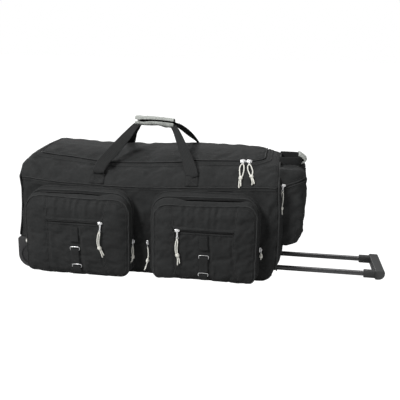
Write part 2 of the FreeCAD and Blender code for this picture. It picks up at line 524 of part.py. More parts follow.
SLIDERS = [
    ("main_left", "x", "z+", "272", "-zip_y - 5.3", "zip_z + 0.9", -53, "1.2", "-6.7", "-7"),
    ("main_right", "x", "z+", "297", "-zip_y - 5.3", "zip_z + 0.9", -53, "1", "-6.7", "-7"),
    ("left_face", "x", "y-", "lz_hi - 9", "-pk_face - fz_t - 0.2", "lz_z", 0, "1.7", "0", "0"),
    ("right_face", "x", "y-", "rz_lo + 9", "-pk_face - fz_t - 0.2", "rz_z", 0, "1.7", "0", "0"),
    ("left_inner", "z", "x+", "lp_hi + 0.4", "-pk_split + 5", "112", 0, "1.3", "0", "0"),
    ("left_outer", "z", "x-", "lp_lo - 0.4", "-pk_split + 5", "112", 0, "0.5", "0", "0"),
    ("right_inner", "z", "x-", "rp_lo - 0.4", "-pk_split + 5", "112", 0, "1.2", "0", "0"),
    ("right_outer", "z", "x+", "rp_hi + 0.4", "-pk_split + 5", "112", 0, "0.5", "0", "0"),
    ("end_pocket", "x", "y-", "ep_x + 13", "-ep_y - 0.4", "ep_za + 6", 0, "1.45", "0", "0"),
]


def oriented(name, travel, face, x, y, z, along, across, up, base="0"):
    """A box centred on the travel line: sizes along the travel, across it and out of the face."""
    out_axis, sign = face[0], face[1]
    sizes = {travel: along, out_axis: up}
    for letter in "xyz":
        sizes.setdefault(letter, across)
    lows = {}
    highs = {}
    for letter, centre in (("x", x), ("y", y), ("z", z)):
        if letter == out_axis:
            near = "(%s) %s (%s)" % (centre, sign, base)
            far = "(%s) %s (%s)" % (near, sign, sizes[letter])
            lows[letter], highs[letter] = (near, far) if sign == "+" else (far, near)
        else:
            lows[letter] = "(%s) - (%s) / 2" % (centre, sizes[letter])
            highs[letter] = "(%s) + (%s) / 2" % (centre, sizes[letter])
    return block(name, lows["x"], highs["x"], lows["y"], highs["y"], lows["z"], highs["z"])


for tag, travel, face, x, y, z, lean, factor, off_y, off_z in SLIDERS:
    foot = oriented(tag + "_foot", travel, face, x, y, z, "sl_l", "sl_w", "sl_t")
    post = oriented(tag + "_post", travel, face, x, y, z, "sl_bridge", "sl_post", "sl_up", "sl_t")
    node(fuse(tag + "_slider_fuse", foot, post), tag + "_slider")
    # the pull starts just outside the bridge and hangs down, turned by its lean about X
    axis, sign = face[0], face[1]
    reach = "sl_t + sl_up + 0.3"
    start = {"x": x, "y": y, "z": z}
    half = "tab_w / 2" if axis == "x" else "cord_r"
    start[axis] = "(%s) %s (%s + %s)" % (start[axis], sign, reach, half)
    start["y"] = "(%s) + (%s)" % (start["y"], off_y)
    start["z"] = "(%s) + (%s)" % (start["z"], off_z)
    pieces = [
        ("Part::Box", "tab_l", "0", None),
        ("Part::Cylinder", "cord_l * %s" % factor, "tab_l - 3", "cord_r"),
        ("Part::Sphere", None, "tab_l + cord_l * %s - 2" % factor, "knot_r"),
        ("Part::Cylinder", "tail_l * %s" % factor, "tab_l + cord_l * %s - 2" % factor, "cord_r"),
    ]
    swing = FreeCAD.Rotation(FreeCAD.Vector(1, 0, 0), lean)
    down = swing.multVec(FreeCAD.Vector(0, 0, -1))
    solids = []
    for n, (kind, length, offset, radius) in enumerate(pieces):
        obj = doc.addObject(kind, "%s_pull%d" % (tag, n))
        flip = swing.multiply(FreeCAD.Rotation(FreeCAD.Vector(1, 0, 0), 180))
        obj.Placement = FreeCAD.Placement(FreeCAD.Vector(), flip)
        shift = {"x": "0", "y": "0"}
        if kind == "Part::Box":
            obj.setExpression("Length", bind("tab_w"))
            obj.setExpression("Width", bind("tab_t"))
            obj.setExpression("Height", bind(length))
            shift["x"] = "-tab_w / 2"
            shift["y"] = "-tab_t / 2"
        else:
            obj.setExpression("Radius", bind(radius))
            if length:
                obj.setExpression("Height", bind(length))
        side_y = flip.multVec(FreeCAD.Vector(0, 1, 0))
        for letter, d, s in (("x", down.x, 0.0), ("y", down.y, side_y.y), ("z", down.z, side_y.z)):
            text = "(%s) + (%s) * (%.6f)" % (start[letter], offset, d)
            if letter == "x":
                text += " + (%s)" % shift["x"]
            else:
                text += " + (%s) * (%.6f)" % (shift["y"], s)
            obj.setExpression("Placement.Base." + letter, bind(text))
        solids.append(obj)
    node(fuse(tag + "_pull_fuse", *solids), tag + "_pull")

# ---------------------------------------------------------------- check and write

doc.recompute()
for obj in doc.Objects:
    if "Invalid" in obj.State or "Error" in obj.State:
        raise RuntimeError("%s is %s" % (obj.Name, obj.State))
for name, obj in NODES.items():
    if obj.Shape.isNull() or not obj.Shape.isValid():
        raise RuntimeError("%s has no valid shape" % name)
    if not obj.Shape.Solids:
        raise RuntimeError("%s has no solid" % name)

os.makedirs("parts", exist_ok=True)
for name, obj in sorted(NODES.items()):
    obj.Shape.exportStep("parts/%s.step" % name)
    box = obj.Shape.BoundBox
    print("%-22s %d  x %.1f %.1f  y %.1f %.1f  z %.1f %.1f" % (
        name, len(obj.Shape.Solids), box.XMin, box.XMax, box.YMin, box.YMax, box.ZMin, box.ZMax))
print(len(NODES), "nodes")
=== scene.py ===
import math

import bpy
import bmesh
import numpy as np
from mathutils import Matrix, Vector
from mathutils.bvhtree import BVHTree


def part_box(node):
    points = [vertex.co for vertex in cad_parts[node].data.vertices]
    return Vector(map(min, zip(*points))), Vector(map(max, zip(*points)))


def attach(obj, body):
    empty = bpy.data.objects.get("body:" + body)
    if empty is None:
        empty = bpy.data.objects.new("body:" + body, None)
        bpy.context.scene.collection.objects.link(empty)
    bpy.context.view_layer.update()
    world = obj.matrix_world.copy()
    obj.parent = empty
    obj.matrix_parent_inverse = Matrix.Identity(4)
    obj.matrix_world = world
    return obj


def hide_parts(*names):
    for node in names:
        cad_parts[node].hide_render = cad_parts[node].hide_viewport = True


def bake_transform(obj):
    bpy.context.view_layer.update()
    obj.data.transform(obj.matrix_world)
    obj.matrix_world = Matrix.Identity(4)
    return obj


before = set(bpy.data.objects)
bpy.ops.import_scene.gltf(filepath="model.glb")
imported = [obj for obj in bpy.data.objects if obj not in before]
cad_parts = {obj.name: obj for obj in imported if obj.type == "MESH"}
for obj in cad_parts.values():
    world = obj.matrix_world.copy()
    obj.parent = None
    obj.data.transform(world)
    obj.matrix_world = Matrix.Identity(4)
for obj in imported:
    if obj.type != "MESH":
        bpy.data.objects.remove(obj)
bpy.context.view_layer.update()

MM = 0.001
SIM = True

# ------------------------------------------------------------------ small maths


def ease(t):
    t = np.clip(t, 0.0, 1.0)
    return t * t * (3 - 2 * t)


def wave_noise(points, size, seed, octaves=3):
    """Smooth noise between about -1 and 1 at points (n, 3), with features about size across."""
    gen = np.random.default_rng(seed)
    total = np.zeros(len(points))
    gain = 1.0
    norm = 0.0
    for _ in range(octaves):
        part = np.zeros(len(points))
        for _ in range(7):
            k = gen.normal(size=3)
            k *= 2 * math.pi / (size * np.linalg.norm(k)) * gen.uniform(0.7, 1.3)
            part += np.sin(points @ k + gen.uniform(0, 6.28))
        total += gain * part / 2.6
        norm += gain
        gain *= 0.5
        size *= 0.5
    return total / norm


def unit(v):
    return v / np.maximum(np.linalg.norm(v, axis=-1, keepdims=True), 1e-9)


# ------------------------------------------------------------------ materials


class Tree:
    """A few short words for building a node material."""

    def __init__(self, name):
        self.mat = bpy.data.materials.new(name)
        self.mat.use_nodes = True
        self.tree = self.mat.node_tree
        self.bsdf = self.tree.nodes["Principled BSDF"]

    def add(self, kind, **values):
        n = self.tree.nodes.new(kind)
        for key, value in values.items():
            if hasattr(n, key):
                setattr(n, key, value)
            else:
                n.inputs[key].default_value = value
        return n

    def link(self, a, out, b, into):
        self.tree.links.new(a.outputs[out], b.inputs[into])

    def math(self, op, a, b=None, out_a=0, out_b=0, clamp=False):
        n = self.tree.nodes.new("ShaderNodeMath")
        n.operation = op
        n.use_clamp = clamp
        for i, (v, o) in enumerate(((a, out_a), (b, out_b))):
            if v is None:
                continue
            if isinstance(v, (int, float)):
                n.inputs[i].default_value = v
            else:
                self.tree.links.new(v.outputs[o], n.inputs[i])
        return n

    def mix(self, factor, a, b, a_out=0):
        n = self.tree.nodes.new("ShaderNodeMix")
        n.data_type = "RGBA"
        for socket, v, o in ((0, factor, 0), (6, a, a_out), (7, b, 0)):
            if isinstance(v, (int, float)):
                n.inputs[socket].default_value = v
            elif isinstance(v, tuple):
                n.inputs[socket].default_value = (*v, 1.0)
            else:
                self.tree.links.new(v.outputs[o], n.inputs[socket])
        return n

    def noise(self, place, scale, detail, **values):
        """Noise texture on object coordinates, or on the output of a mapping node."""
        n = self.add("ShaderNodeTexNoise", Scale=scale, Detail=detail, **values)
        self.link(place, "Object" if "Object" in place.outputs else 0, n, "Vector")
        return n

    def bump(self, height, strength, distance, under=None):
        n = self.add("ShaderNodeBump", Strength=strength, Distance=distance)
        self.link(height, 0, n, "Height")
        if under:
            self.link(under, "Normal", n, "Normal")
        return n

    def finish(self, colour, roughness, relief, **values):
        """Colour, roughness and relief into the shader, and its plain inputs by name."""
        self.link(colour, 2, self.bsdf, "Base Color")
        self.link(roughness, 0, self.bsdf, "Roughness")
        self.link(relief, "Normal", self.bsdf, "Normal")
        for key, value in values.items():
            self.bsdf.inputs[key.replace("_", " ")].default_value = value
        return self.mat


def fabric(name, base, light, pitch=1.1, sheen=0.35, bump=0.35, mottle=0.35, ribs=False, swells=0.1):
    """Woven cloth: crossing yarns in bump and tone, slow colour variation, soft sheen; pitch is in mm."""
    t = Tree(name)
    place = t.add("ShaderNodeTexCoord")
    yarns = []
    for way, size in (("X", pitch), ("Y", pitch * (2.2 if ribs else 1.0))):
        n = t.add("ShaderNodeTexWave", bands_direction=way, Scale=0.314 / (size * MM), Distortion=0.6,
                  Detail=1.0)
        t.link(place, "UV", n, "Vector")
        yarns.append(n)
    cross = t.math("MULTIPLY", *yarns, 1, 1)
    fine, slow, mid = (t.noise(place, scale, detail)
                       for scale, detail in ((900.0, 2.0), (14.0, 3.0), (150.0, 2.0)))
    tone = t.math("ADD", t.math("MULTIPLY", cross, 0.35), t.math("MULTIPLY", slow, mottle))
    tone = t.math("ADD", tone, t.math("MULTIPLY", mid, mottle * 0.8))
    tone = t.math("ADD", tone, t.math("MULTIPLY", fine, 0.3), clamp=True)
    swell = t.bump(t.noise(place, 26.0, 4.0, Roughness=0.55), swells, 0.006)
    weave = t.bump(t.math("ADD", cross, t.math("MULTIPLY", mid, 0.8)), bump, 0.0006, swell)
    rough = t.math("ADD", t.math("MULTIPLY", slow, 0.12), 0.76)
    return t.finish(t.mix(tone, base, light), rough, weave, Sheen_Weight=sheen, Sheen_Roughness=0.45,
                    Specular_IOR_Level=0.1)


def plastic(name, base, rough=0.45, grain=420.0, spec=0.4, edge=0.06):
    """Moulded plastic: fine spark-eroded grain, slight tone variation, worn lighter edges."""
    t = Tree(name)
    place = t.add("ShaderNodeTexCoord")
    sparks, cloudy = t.noise(place, grain, 3.0), t.noise(place, 22.0, 3.0)
    worn = t.add("ShaderNodeMapRange")
    worn.inputs["From Min"].default_value = 0.5
    worn.inputs["From Max"].default_value = 0.62
    t.link(t.add("ShaderNodeNewGeometry"), "Pointiness", worn, "Value")
    light = tuple(min(1.0, c + edge) for c in base)
    tone = t.mix(cloudy, tuple(c * 0.75 for c in base), tuple(c * 1.25 for c in base))
    colour = t.mix(t.math("MULTIPLY", worn, 0.6), tone, light, 2)
    patchy = t.math("ADD", t.math("MULTIPLY", cloudy, 0.2), rough - 0.1)
    return t.finish(colour, patchy, t.bump(sparks, 0.12, 0.0004), Specular_IOR_Level=spec)


def metal(name, base, rough=0.25, metallic=1.0, coat=0.0):
    """Metal with fine drawn lines along its length and handling marks."""
    t = Tree(name)
    place = t.add("ShaderNodeTexCoord")
    stretch = t.add("ShaderNodeMapping")
    stretch.inputs["Scale"].default_value = (18.0, 720.0, 720.0)
    t.link(place, "Object", stretch, "Vector")
    lines, marks = t.noise(stretch, 1.0, 3.0), t.noise(place, 60.0, 4.0)
    tone = t.mix(marks, tuple(c * 0.8 for c in base), tuple(min(1, c * 1.15) for c in base))
    r = t.math("ADD", t.math("MULTIPLY", lines, 0.18), t.math("MULTIPLY", marks, 0.12))
    return t.finish(tone, t.math("ADD", r, rough - 0.12), t.bump(lines, 0.06, 0.0003), Metallic=metallic,
                    Coat_Weight=coat)


M = {
    "body": fabric("polyester_black", (0.0075, 0.0077, 0.0077), (0.038, 0.039, 0.039), sheen=0.02,
                   mottle=0.42, swells=0.55),
    # the lid's cloth is a darker copy of the body cloth: painted shade that tones down the top, which the
    # lamps light more
    "lid": fabric("polyester_black_lid_painted_shade", (0.0070, 0.0072, 0.0072), (0.033, 0.034, 0.034), sheen=0.02,
                  mottle=0.42, swells=0.5),
    "lining": fabric("lining_black", (0.003,) * 3, (0.007,) * 3, pitch=0.8, sheen=0.0),
    "web": fabric("webbing_black", (0.005,) * 3, (0.042, 0.043, 0.043), pitch=1.7, ribs=True, bump=0.9,
                  sheen=0.03),
    # the webbing under the strap is a darker copy of the strap's own webbing: painted shade for the gaps
    # between its stretches
    "under": fabric("webbing_painted_shade", (0.002,) * 3, (0.012,) * 3, pitch=1.7, ribs=True, bump=0.9, sheen=0.0),
    "tape": fabric("zip_tape", (0.002,) * 3, (0.007,) * 3, pitch=0.9, sheen=0.0),
    # the piping cloth is a lighter copy of the black body cloth: painted highlight along the piping, on top
    # of the light its round shape catches
    "pipe": fabric("piping_painted_highlight", (0.016, 0.0165, 0.0165), (0.062, 0.063, 0.063), pitch=0.9, sheen=0.03),
    "wrap": fabric("wrap_heather", (0.04, 0.042, 0.04), (0.50, 0.52, 0.49), pitch=1.2, sheen=0.1,
                   mottle=0.62, bump=0.6),
    "cord": fabric("cord_cream", (0.70, 0.69, 0.62), (1.0, 0.99, 0.93), pitch=1.3, sheen=0.1, bump=0.7),
    "thread": fabric("thread_grey", (0.030, 0.030, 0.031), (0.095, 0.096, 0.096), pitch=0.5, sheen=0.02),
    "coil": plastic("zip_coil", (0.003,) * 3, 0.5, spec=0.2, edge=0.01),
    "chassis": plastic("chassis_black", (0.014, 0.014, 0.015), 0.5),
    "grip": plastic("grip_grey", (0.026, 0.027, 0.027), 0.5, edge=0.04),
    "nylon": plastic("nylon_black", (0.016, 0.016, 0.017), 0.4),
    "rubber": plastic("wheel_rubber", (0.012,) * 3, 0.65, grain=260.0),
    "board": plastic("board_black", (0.03,) * 3, 0.6, grain=120.0),
    "tube": metal("tube_dark", (0.13, 0.13, 0.133), 0.36, coat=0.3),
    "rail": metal("rail_alloy", (0.55, 0.55, 0.56), 0.35),
    "chrome": metal("zip_silver", (0.88, 0.88, 0.89), 0.30, metallic=0.75),
    "steel": metal("steel_plain", (0.45, 0.45, 0.46), 0.3),
}

# ------------------------------------------------------------------ mesh helpers
# raw geometry is a tuple (points in mm, faces, uv in metres); build() turns a list of them into one piece


def build(name, geos, key, body=None, core=None):
    """One mesh object from raw geometry; core is a point inside, which the faces then look away from."""
    points, faces, uvs, count = [], [], [], 0
    for pts, fcs, uv in geos:
        pts = np.asarray(pts, float).reshape(-1, 3)
        points.append(pts)
        faces.extend([tuple(i + count for i in f) for f in fcs])
        uvs.append(np.asarray(uv, float).reshape(-1, 2))
        count += len(pts)
    points, uvs = np.concatenate(points), np.concatenate(uvs)
    me = bpy.data.meshes.new(name)
    me.from_pydata([tuple(p) for p in points * MM], [], faces)
    me.materials.append(M[key])
    layer = me.uv_layers.new(name="UVMap")
    loops = np.zeros(len(me.loops), np.int32)
    me.loops.foreach_get("vertex_index", loops)
    layer.data.foreach_set("uv", uvs.astype(np.float32)[loops].ravel())
    me.polygons.foreach_set("use_smooth", [True] * len(me.polygons))
    if core is not None:
        bm = bmesh.new()
        bm.from_mesh(me)
        bmesh.ops.recalc_face_normals(bm, faces=bm.faces)
        middle = Vector(core) * MM
        if sum(f.normal.dot(f.calc_center_median() - middle) * f.calc_area() for f in bm.faces) < 0:
            bmesh.ops.reverse_faces(bm, faces=bm.faces)
        bm.to_mesh(me)
        bm.free()
    me.update()
    ob = bpy.data.objects.new(name, me)
    bpy.context.scene.collection.objects.link(ob)
    if body:
        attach(ob, body)
    return ob


def grid_faces(m, n, wrap_m=False, wrap_n=False):
    faces = []
    for i in range(m if wrap_m else m - 1):
        for j in range(n if wrap_n else n - 1):
            here, there, k = i * n, (i + 1) % m * n, (j + 1) % n
            faces.append((here + j, here + k, there + k, there + j))
    return faces


def sheet(points, uv):
    """An open sheet from an (m, n, 3) array."""
    m, n = points.shape[:2]
    return points.reshape(-1, 3), grid_faces(m, n), np.asarray(uv).reshape(-1, 2)


def spot_box(node):
    """A CAD node's box in mm: lowest and highest corner."""
    lo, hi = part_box(node)
    return np.array(lo) / MM, np.array(hi) / MM


def run_length(path):
    return np.concatenate([[0], np.cumsum(np.linalg.norm(np.diff(path, axis=0), axis=1))])


def along(path, d, at):
    """Points of a path at the lengths at, where d holds the length at each of its own points."""
    return np.stack([np.interp(at, d, column) for column in path.T], -1)


def spread_uv(a, b):
    """UV from two lengths in mm that broadcast to the grid of points."""
    return np.stack(np.broadcast_arrays(a * MM, b * MM), -1)


def frames_along(path, hint, closed=False):
    if closed:
        tangent = np.roll(path, -1, 0) - np.roll(path, 1, 0)
    else:
        tangent = np.gradient(path, axis=0)
    tangent = unit(tangent)
    normal = np.asarray(hint, float)
    normals = []
    for t in tangent:
        normal = normal - t * (normal @ t)
        normal = normal / max(np.linalg.norm(normal), 1e-9)
        normals.append(normal)
    normals = np.array(normals)
    return normals, np.cross(tangent, normals)


def end_caps(n, sides):
    return [tuple(range(sides))[::-1], tuple((n - 1) * sides + k for k in range(sides))]


def tube(path, radius, sides=8, hint=(0.1, 0.2, 1), closed=False, flat=1.0):
    """A round cord along a path: radius may vary along it, and flat squeezes it along the hint."""
    path = np.asarray(path, float)
    n = len(path)
    u, v = frames_along(path, hint, closed)
    radii = np.broadcast_to(np.asarray(radius, float), (n,))
    angle = np.linspace(0, 2 * math.pi, sides, endpoint=False)
    ring = path[:, None] + (flat * np.cos(angle)[None, :, None] * u[:, None]
                            + np.sin(angle)[None, :, None] * v[:, None]) * radii[:, None, None]
    uv = spread_uv(run_length(path)[:, None], angle[None] * radii.mean())
    faces = grid_faces(n, sides, closed, True) + ([] if closed else end_caps(n, sides))
    return ring.reshape(-1, 3), faces, uv.reshape(-1, 2)


def ribbon(path, across, width, thick, cols=9):
    """Flat webbing with rounded edges: across is its width direction along the path."""
    path = np.asarray(path, float)
    n = len(path)
    across = unit(np.broadcast_to(np.asarray(across, float), (n, 3)))
    tangent = unit(np.gradient(path, axis=0))
    normal = unit(np.cross(across, tangent))
    widths = np.broadcast_to(np.asarray(width, float), (n,))
    q = np.linspace(-0.5, 0.5, cols)
    crown = (1 - (2 * q) ** 6) * thick / 2
    span = across[:, None] * (q[None, :, None] * widths[:, None, None])
    top = path[:, None] + span + normal[:, None] * crown[None, :, None]
    low = path[:, None] + span[:, ::-1] - normal[:, None] * crown[None, ::-1, None]
    ring = np.concatenate([top, low[:, 1:-1]], axis=1)
    sides = ring.shape[1]
    qq = np.concatenate([q, q[::-1][1:-1]])
    uv = spread_uv(run_length(path)[:, None], qq[None] * widths.mean())
    return ring.reshape(-1, 3), grid_faces(n, sides, False, True) + end_caps(n, sides), uv.reshape(-1, 2)


def stitches(path, normal, pitch=3.6, length=2.5, radius=0.38):
    """A row of sewn stitches: short humps that dip into the cloth at both ends."""
    path = np.asarray(path, float)
    normal = np.broadcast_to(np.asarray(normal, float), path.shape)
    d = run_length(path)
    points, faces = [], []
    for k in range(int(d[-1] / pitch)):
        at = k * pitch + np.array([0.0, 0.25, 0.75, 1.0]) * length
        spot = along(path, d, at)
        up = unit(along(normal, d, at))
        side = unit(np.cross(up, unit(spot[-1:] - spot[:1])))
        base = len(points)
        for i, (rise, r) in enumerate(((-0.8, 0.4), (0.7, 1.0), (0.7, 1.0), (-0.8, 0.4))):
            for c, t in ((1, 0), (0, 1), (-1, 0), (0, -1)):
                points.append(spot[i] + (up[i] * (rise + t * r) + side[i] * c * r) * radius)
        for i in range(3):
            for j in range(4):
                n = (j + 1) % 4
                faces.append((base + i * 4 + j, base + i * 4 + n, base + i * 4 + 4 + n, base + i * 4 + 4 + j))
        faces.append((base + 3, base + 2, base + 1, base))
        faces.append((base + 12, base + 13, base + 14, base + 15))
    points = np.array(points).reshape(-1, 3)
    return points, faces, points[:, :2] * MM


def sew(spots, normals):
    """The bag's usual row of stitches."""
    return stitches(spots, normals, 4.2, 2.9)


class Skin:
    """Finds places on a sewn shell once its cloth run is done."""

    def __init__(self, ob, core):
        self.tree = BVHTree.FromPolygons([v.co / MM for v in ob.data.vertices],
                                         [p.vertices[:] for p in ob.data.polygons])
        self.core = Vector(core)

    def near(self, points, off=0.0):
        spots, normals = [], []
        for p in np.asarray(points, float):
            hit, normal = self.tree.find_nearest(Vector(p))[:2]
            if normal @ (hit - self.core) < 0:
                normal = -normal
            spots.append(hit + normal * off)
            normals.append(normal)
        return np.array(spots), np.array(normals)

    def front(self, x, z, off=0.0):
        """Where a line straight in from the front meets the shell."""
        spots, normals = [], []
        for a, b in zip(np.ravel(x), np.ravel(z)):
            hit, normal = self.tree.ray_cast(Vector((a, -400, b)), Vector((0, 1, 0)))[:2]
            if hit is None:
                hit, normal = self.tree.find_nearest(Vector((a, -215, b)))[:2]
            if normal.y > 0:
                normal = -normal
            spots.append(hit + normal * off)
            normals.append(normal)
        return np.array(spots), np.array(normals)


def resample(path, step):
    path = np.asarray(path, float)
    d = run_length(path)
    return along(path, d, np.linspace(0, d[-1], max(2, int(round(d[-1] / step)) + 1)))


def smooth_path(path, rounds=3):
    path = np.asarray(path, float)
    for _ in range(rounds):
        inner = 0.75 * path[:-1] + 0.25 * path[1:]
        outer = 0.25 * path[:-1] + 0.75 * path[1:]
        mid = np.empty((2 * len(inner), path.shape[1]))
        mid[0::2] = inner
        mid[1::2] = outer
        path = np.concatenate([path[:1], mid, path[-1:]])
    return path


def add_mod(ob, kind, **values):
    mod = ob.modifiers.new(kind.lower(), kind)
    for key, value in values.items():
        setattr(mod, key, value)
    return mod


def subdivide(ob):
    add_mod(ob, "SUBSURF", levels=1, render_levels=1)


def thicken(ob, mm, offset=0.0, lined=False):
    mod = add_mod(ob, "SOLIDIFY", thickness=mm * MM, offset=offset)
    if lined:
        ob.data.materials.append(M["lining"])
        mod.material_offset = 1


# ------------------------------------------------------------------ cloth

CLOTHS = []
SIM_FRAMES = 16


def cloth(ob, pins, late, **how):
    """Queues a cloth run on ob. pins is a weight per vertex, late a further shift of each vertex, in metres,
    for the set folds, added after the run. how holds pressure, shrink, cap (the most a point may move, mm),
    bend, stiff, seed and rough (the height in mm of the noise that starts the wrinkles)."""
    CLOTHS.append((ob, np.asarray(pins, float), late, how))


def read_vertices(mesh, what):
    flat = np.zeros(len(mesh.vertices) * 3)
    mesh.vertices.foreach_get(what, flat)
    return flat.reshape(-1, 3)


def add_cloth(ob, how):
    mod = ob.modifiers.new("cloth", "CLOTH")
    s = mod.settings
    s.quality = 5
    s.mass = 0.25
    s.tension_stiffness = s.compression_stiffness = how["stiff"]
    s.shear_stiffness = how["stiff"] * 0.4
    s.bending_stiffness = how["bend"]
    s.tension_damping = s.compression_damping = s.shear_damping = 6
    s.air_damping = 3
    s.use_pressure = True
    s.uniform_pressure_force = how["pressure"]
    s.shrink_min = how["shrink"]
    s.vertex_group_mass = "pin"
    s.effector_weights.gravity = 0.0
    mod.collision_settings.use_collision = False
    mod.collision_settings.use_self_collision = False
    mod.point_cache.frame_start = 1
    mod.point_cache.frame_end = SIM_FRAMES


def run_cloths():
    """Steps every queued cloth together, then writes the capped result back to the meshes."""
    scene = bpy.context.scene
    starts = []
    for ob, pins, _, how in CLOTHS:
        co, no = read_vertices(ob.data, "co"), read_vertices(ob.data, "normal")
        starts.append(co)
        noise = wave_noise(co / MM, 38.0, how["seed"] + 5, 2)[:, None]
        jitter = noise * no * how["rough"] * MM * (1 - pins[:, None])
        ob.data.vertices.foreach_set("co", (co + jitter).ravel())
        group = ob.vertex_groups.new(name="pin")
        level = np.round(pins, 2)
        for value in np.unique(level[level > 0]):
            group.add([int(i) for i in np.nonzero(level == value)[0]], float(value), "REPLACE")
        if SIM:
            add_cloth(ob, how)
    if SIM:
        for f in range(1, SIM_FRAMES + 1):
            scene.frame_set(f)
    dg = bpy.context.evaluated_depsgraph_get()
    for (ob, _, late, how), start in zip(CLOTHS, starts):
        if SIM:
            move = read_vertices(ob.evaluated_get(dg).to_mesh(), "co") - start
            ob.evaluated_get(dg).to_mesh_clear()
            size = np.linalg.norm(move, axis=1, keepdims=True)
            limit = how["cap"] * MM
            move *= limit * np.tanh(size / limit) / np.maximum(size, 1e-9)
            start = start + move
            ob.modifiers.remove(ob.modifiers["cloth"])
        ob.data.vertices.foreach_set("co", (start + late).ravel())
        ob.data.update()
        ob.vertex_groups.clear()
    scene.frame_set(1)


# ------------------------------------------------------------------ the bag's surface

# The surface is a map from (x, s): x runs along the bag, and s round its section from the middle of the base,
# up the front, over the top and down the back. Whole values of s are the landmarks A to END.
LX, DY, BASE = 384.0, 160.0, 4.0  # half length, half depth and the height of the base
SEAM_Z, WELL_X, WELL_Z, WELL_Y, LID_X = 277.0, -300.0, 98.4, 110.0, 342.0
BASE_ROUND = {1: 42.0, -1: 40.0}  # radius of the lower corner at the trolley end and at the wheel end
CORNERS = [  # (y, z, radius) round the section; None is the height of the base
    (0, None, 0), (-WELL_Y, None, 0), (-DY, None, 25), (-DY, WELL_Z, 0), (-DY, SEAM_Z, 9), (-123, 309, 45),
    (-84, 334, 22), (0, 350, 90), (95, 352, 45), (134, 338, 9), (DY, 296, 22), (DY, WELL_Z, 0),
    (DY, None, 25), (WELL_Y, None, 0), (0, None, 0),
]
MARKS = [0, 1, 2, 3, 4, 5, 6, 9, 10, 11, 12, 13, 14]  # which corners are landmarks
A, B0, B1, W0, SEAM, FOLD, ZIP, HINGE, BACK, W1, J0, J1, END = range(13)


def base_at(x):
    r = BASE_ROUND[1 if x > 0 else -1]
    into = max(0.0, abs(x) - LX + r)
    return BASE + r - math.sqrt(max(0.0, r ** 2 - into ** 2))


def cap_at(x):
    """The height that the section is held under: it slopes down towards both ends."""
    if x < -330:
        return 362 - (-330 - x) * 42 / 54
    if x > 345:
        return 362 - (x - 345) * 10 / 39
    return 400.0


def section(x):
    """The rounded cross-section at x: (length, y, z) samples and the lengths of the landmarks."""
    zb = base_at(x)
    pts = np.array([(y, zb if z is None else z) for y, z, r in CORNERS], float)
    radii = [r for y, z, r in CORNERS]
    out = [pts[0]]
    mark_at = {0: 0}
    for i in range(1, len(pts) - 1):
        a, p, b = pts[i - 1], pts[i], pts[i + 1]
        la, lb = np.linalg.norm(a - p), np.linalg.norm(b - p)
        if radii[i] == 0:
            out.append(p)
            mark_at[i] = len(out) - 1
            continue
        turn = math.acos(np.clip(((p - a) @ (b - p)) / (la * lb), -1, 1))
        reach = min(radii[i] * math.tan(turn / 2), 0.47 * la, 0.47 * lb)
        p0, p1 = p + (a - p) / la * reach, p + (b - p) / lb * reach
        mark_at[i] = len(out) + 4
        for t in np.linspace(0, 1, 9):
            out.append((1 - t) ** 2 * p0 + 2 * t * (1 - t) * p + t ** 2 * p1)
    out.append(pts[-1])
    mark_at[len(pts) - 1] = len(out) - 1
    out = np.array(out)
    cap = cap_at(x)
    high = np.exp(-(out[:, 1] - cap) / 6.0)
    out[:, 1] = np.where(out[:, 1] > 250, out[:, 1] - 6.0 * np.log1p(1 / np.maximum(high, 1e-9)), out[:, 1])
    length = run_length(out)
    return length, out, np.array([length[mark_at[m]] for m in MARKS])


# the map as a table, worked out once from the sections
TX = np.linspace(-LX, LX, 385)
TS = np.linspace(0, END, END * 24 + 1)
TABLE = np.zeros((len(TX), len(TS), 2))
WIDTH = np.zeros(len(TX))
for i, x in enumerate(TX):
    length, line, marks = section(x)
    TABLE[i] = along(line, length, np.interp(TS, np.arange(END + 1), marks))
    WIDTH[i] = marks[HINGE] - marks[ZIP]
LID_W = float(WIDTH[len(TX) // 2])
MID_MARKS = section(0.0)[2]  # where the landmarks fall round the middle section


def lookup(x, s):
    fx = np.clip((x + LX) / (2 * LX) * (len(TX) - 1), 0, len(TX) - 1.001)
    fs = np.clip(s / END * (len(TS) - 1), 0, len(TS) - 1.001)
    i, j = fx.astype(int), fs.astype(int)
    a, b = (fx - i)[..., None], (fs - j)[..., None]
    return (TABLE[i, j] * (1 - a) + TABLE[i + 1, j] * a) * (1 - b) \
        + (TABLE[i, j + 1] * (1 - a) + TABLE[i + 1, j + 1] * a) * b


# how far the soft top stands above or below the level design, as (x, height) along the three long seams
ZIP_LIFT = np.array([(-384, 2), (-361, 12), (-297, 4), (-244, 0), (-163, -9), (-105, -12), (0, -8),
                     (90, -2), (135, 5), (267, 10), (325, 11), (384, 5)], float)
HINGE_LIFT = np.array([(-384, 2), (-358, 14), (-289, 9), (-209, 5), (-116, 6), (0, 9), (119, 14),
                       (250, 11), (321, 6), (384, 2)], float)
SEAM_LIFT = np.array([(-384, 7), (-327, 3), (-266, -3), (-165, -6), (-105, -8), (-25, -8), (164, -1),
                      (358, 10), (384, 10)], float)


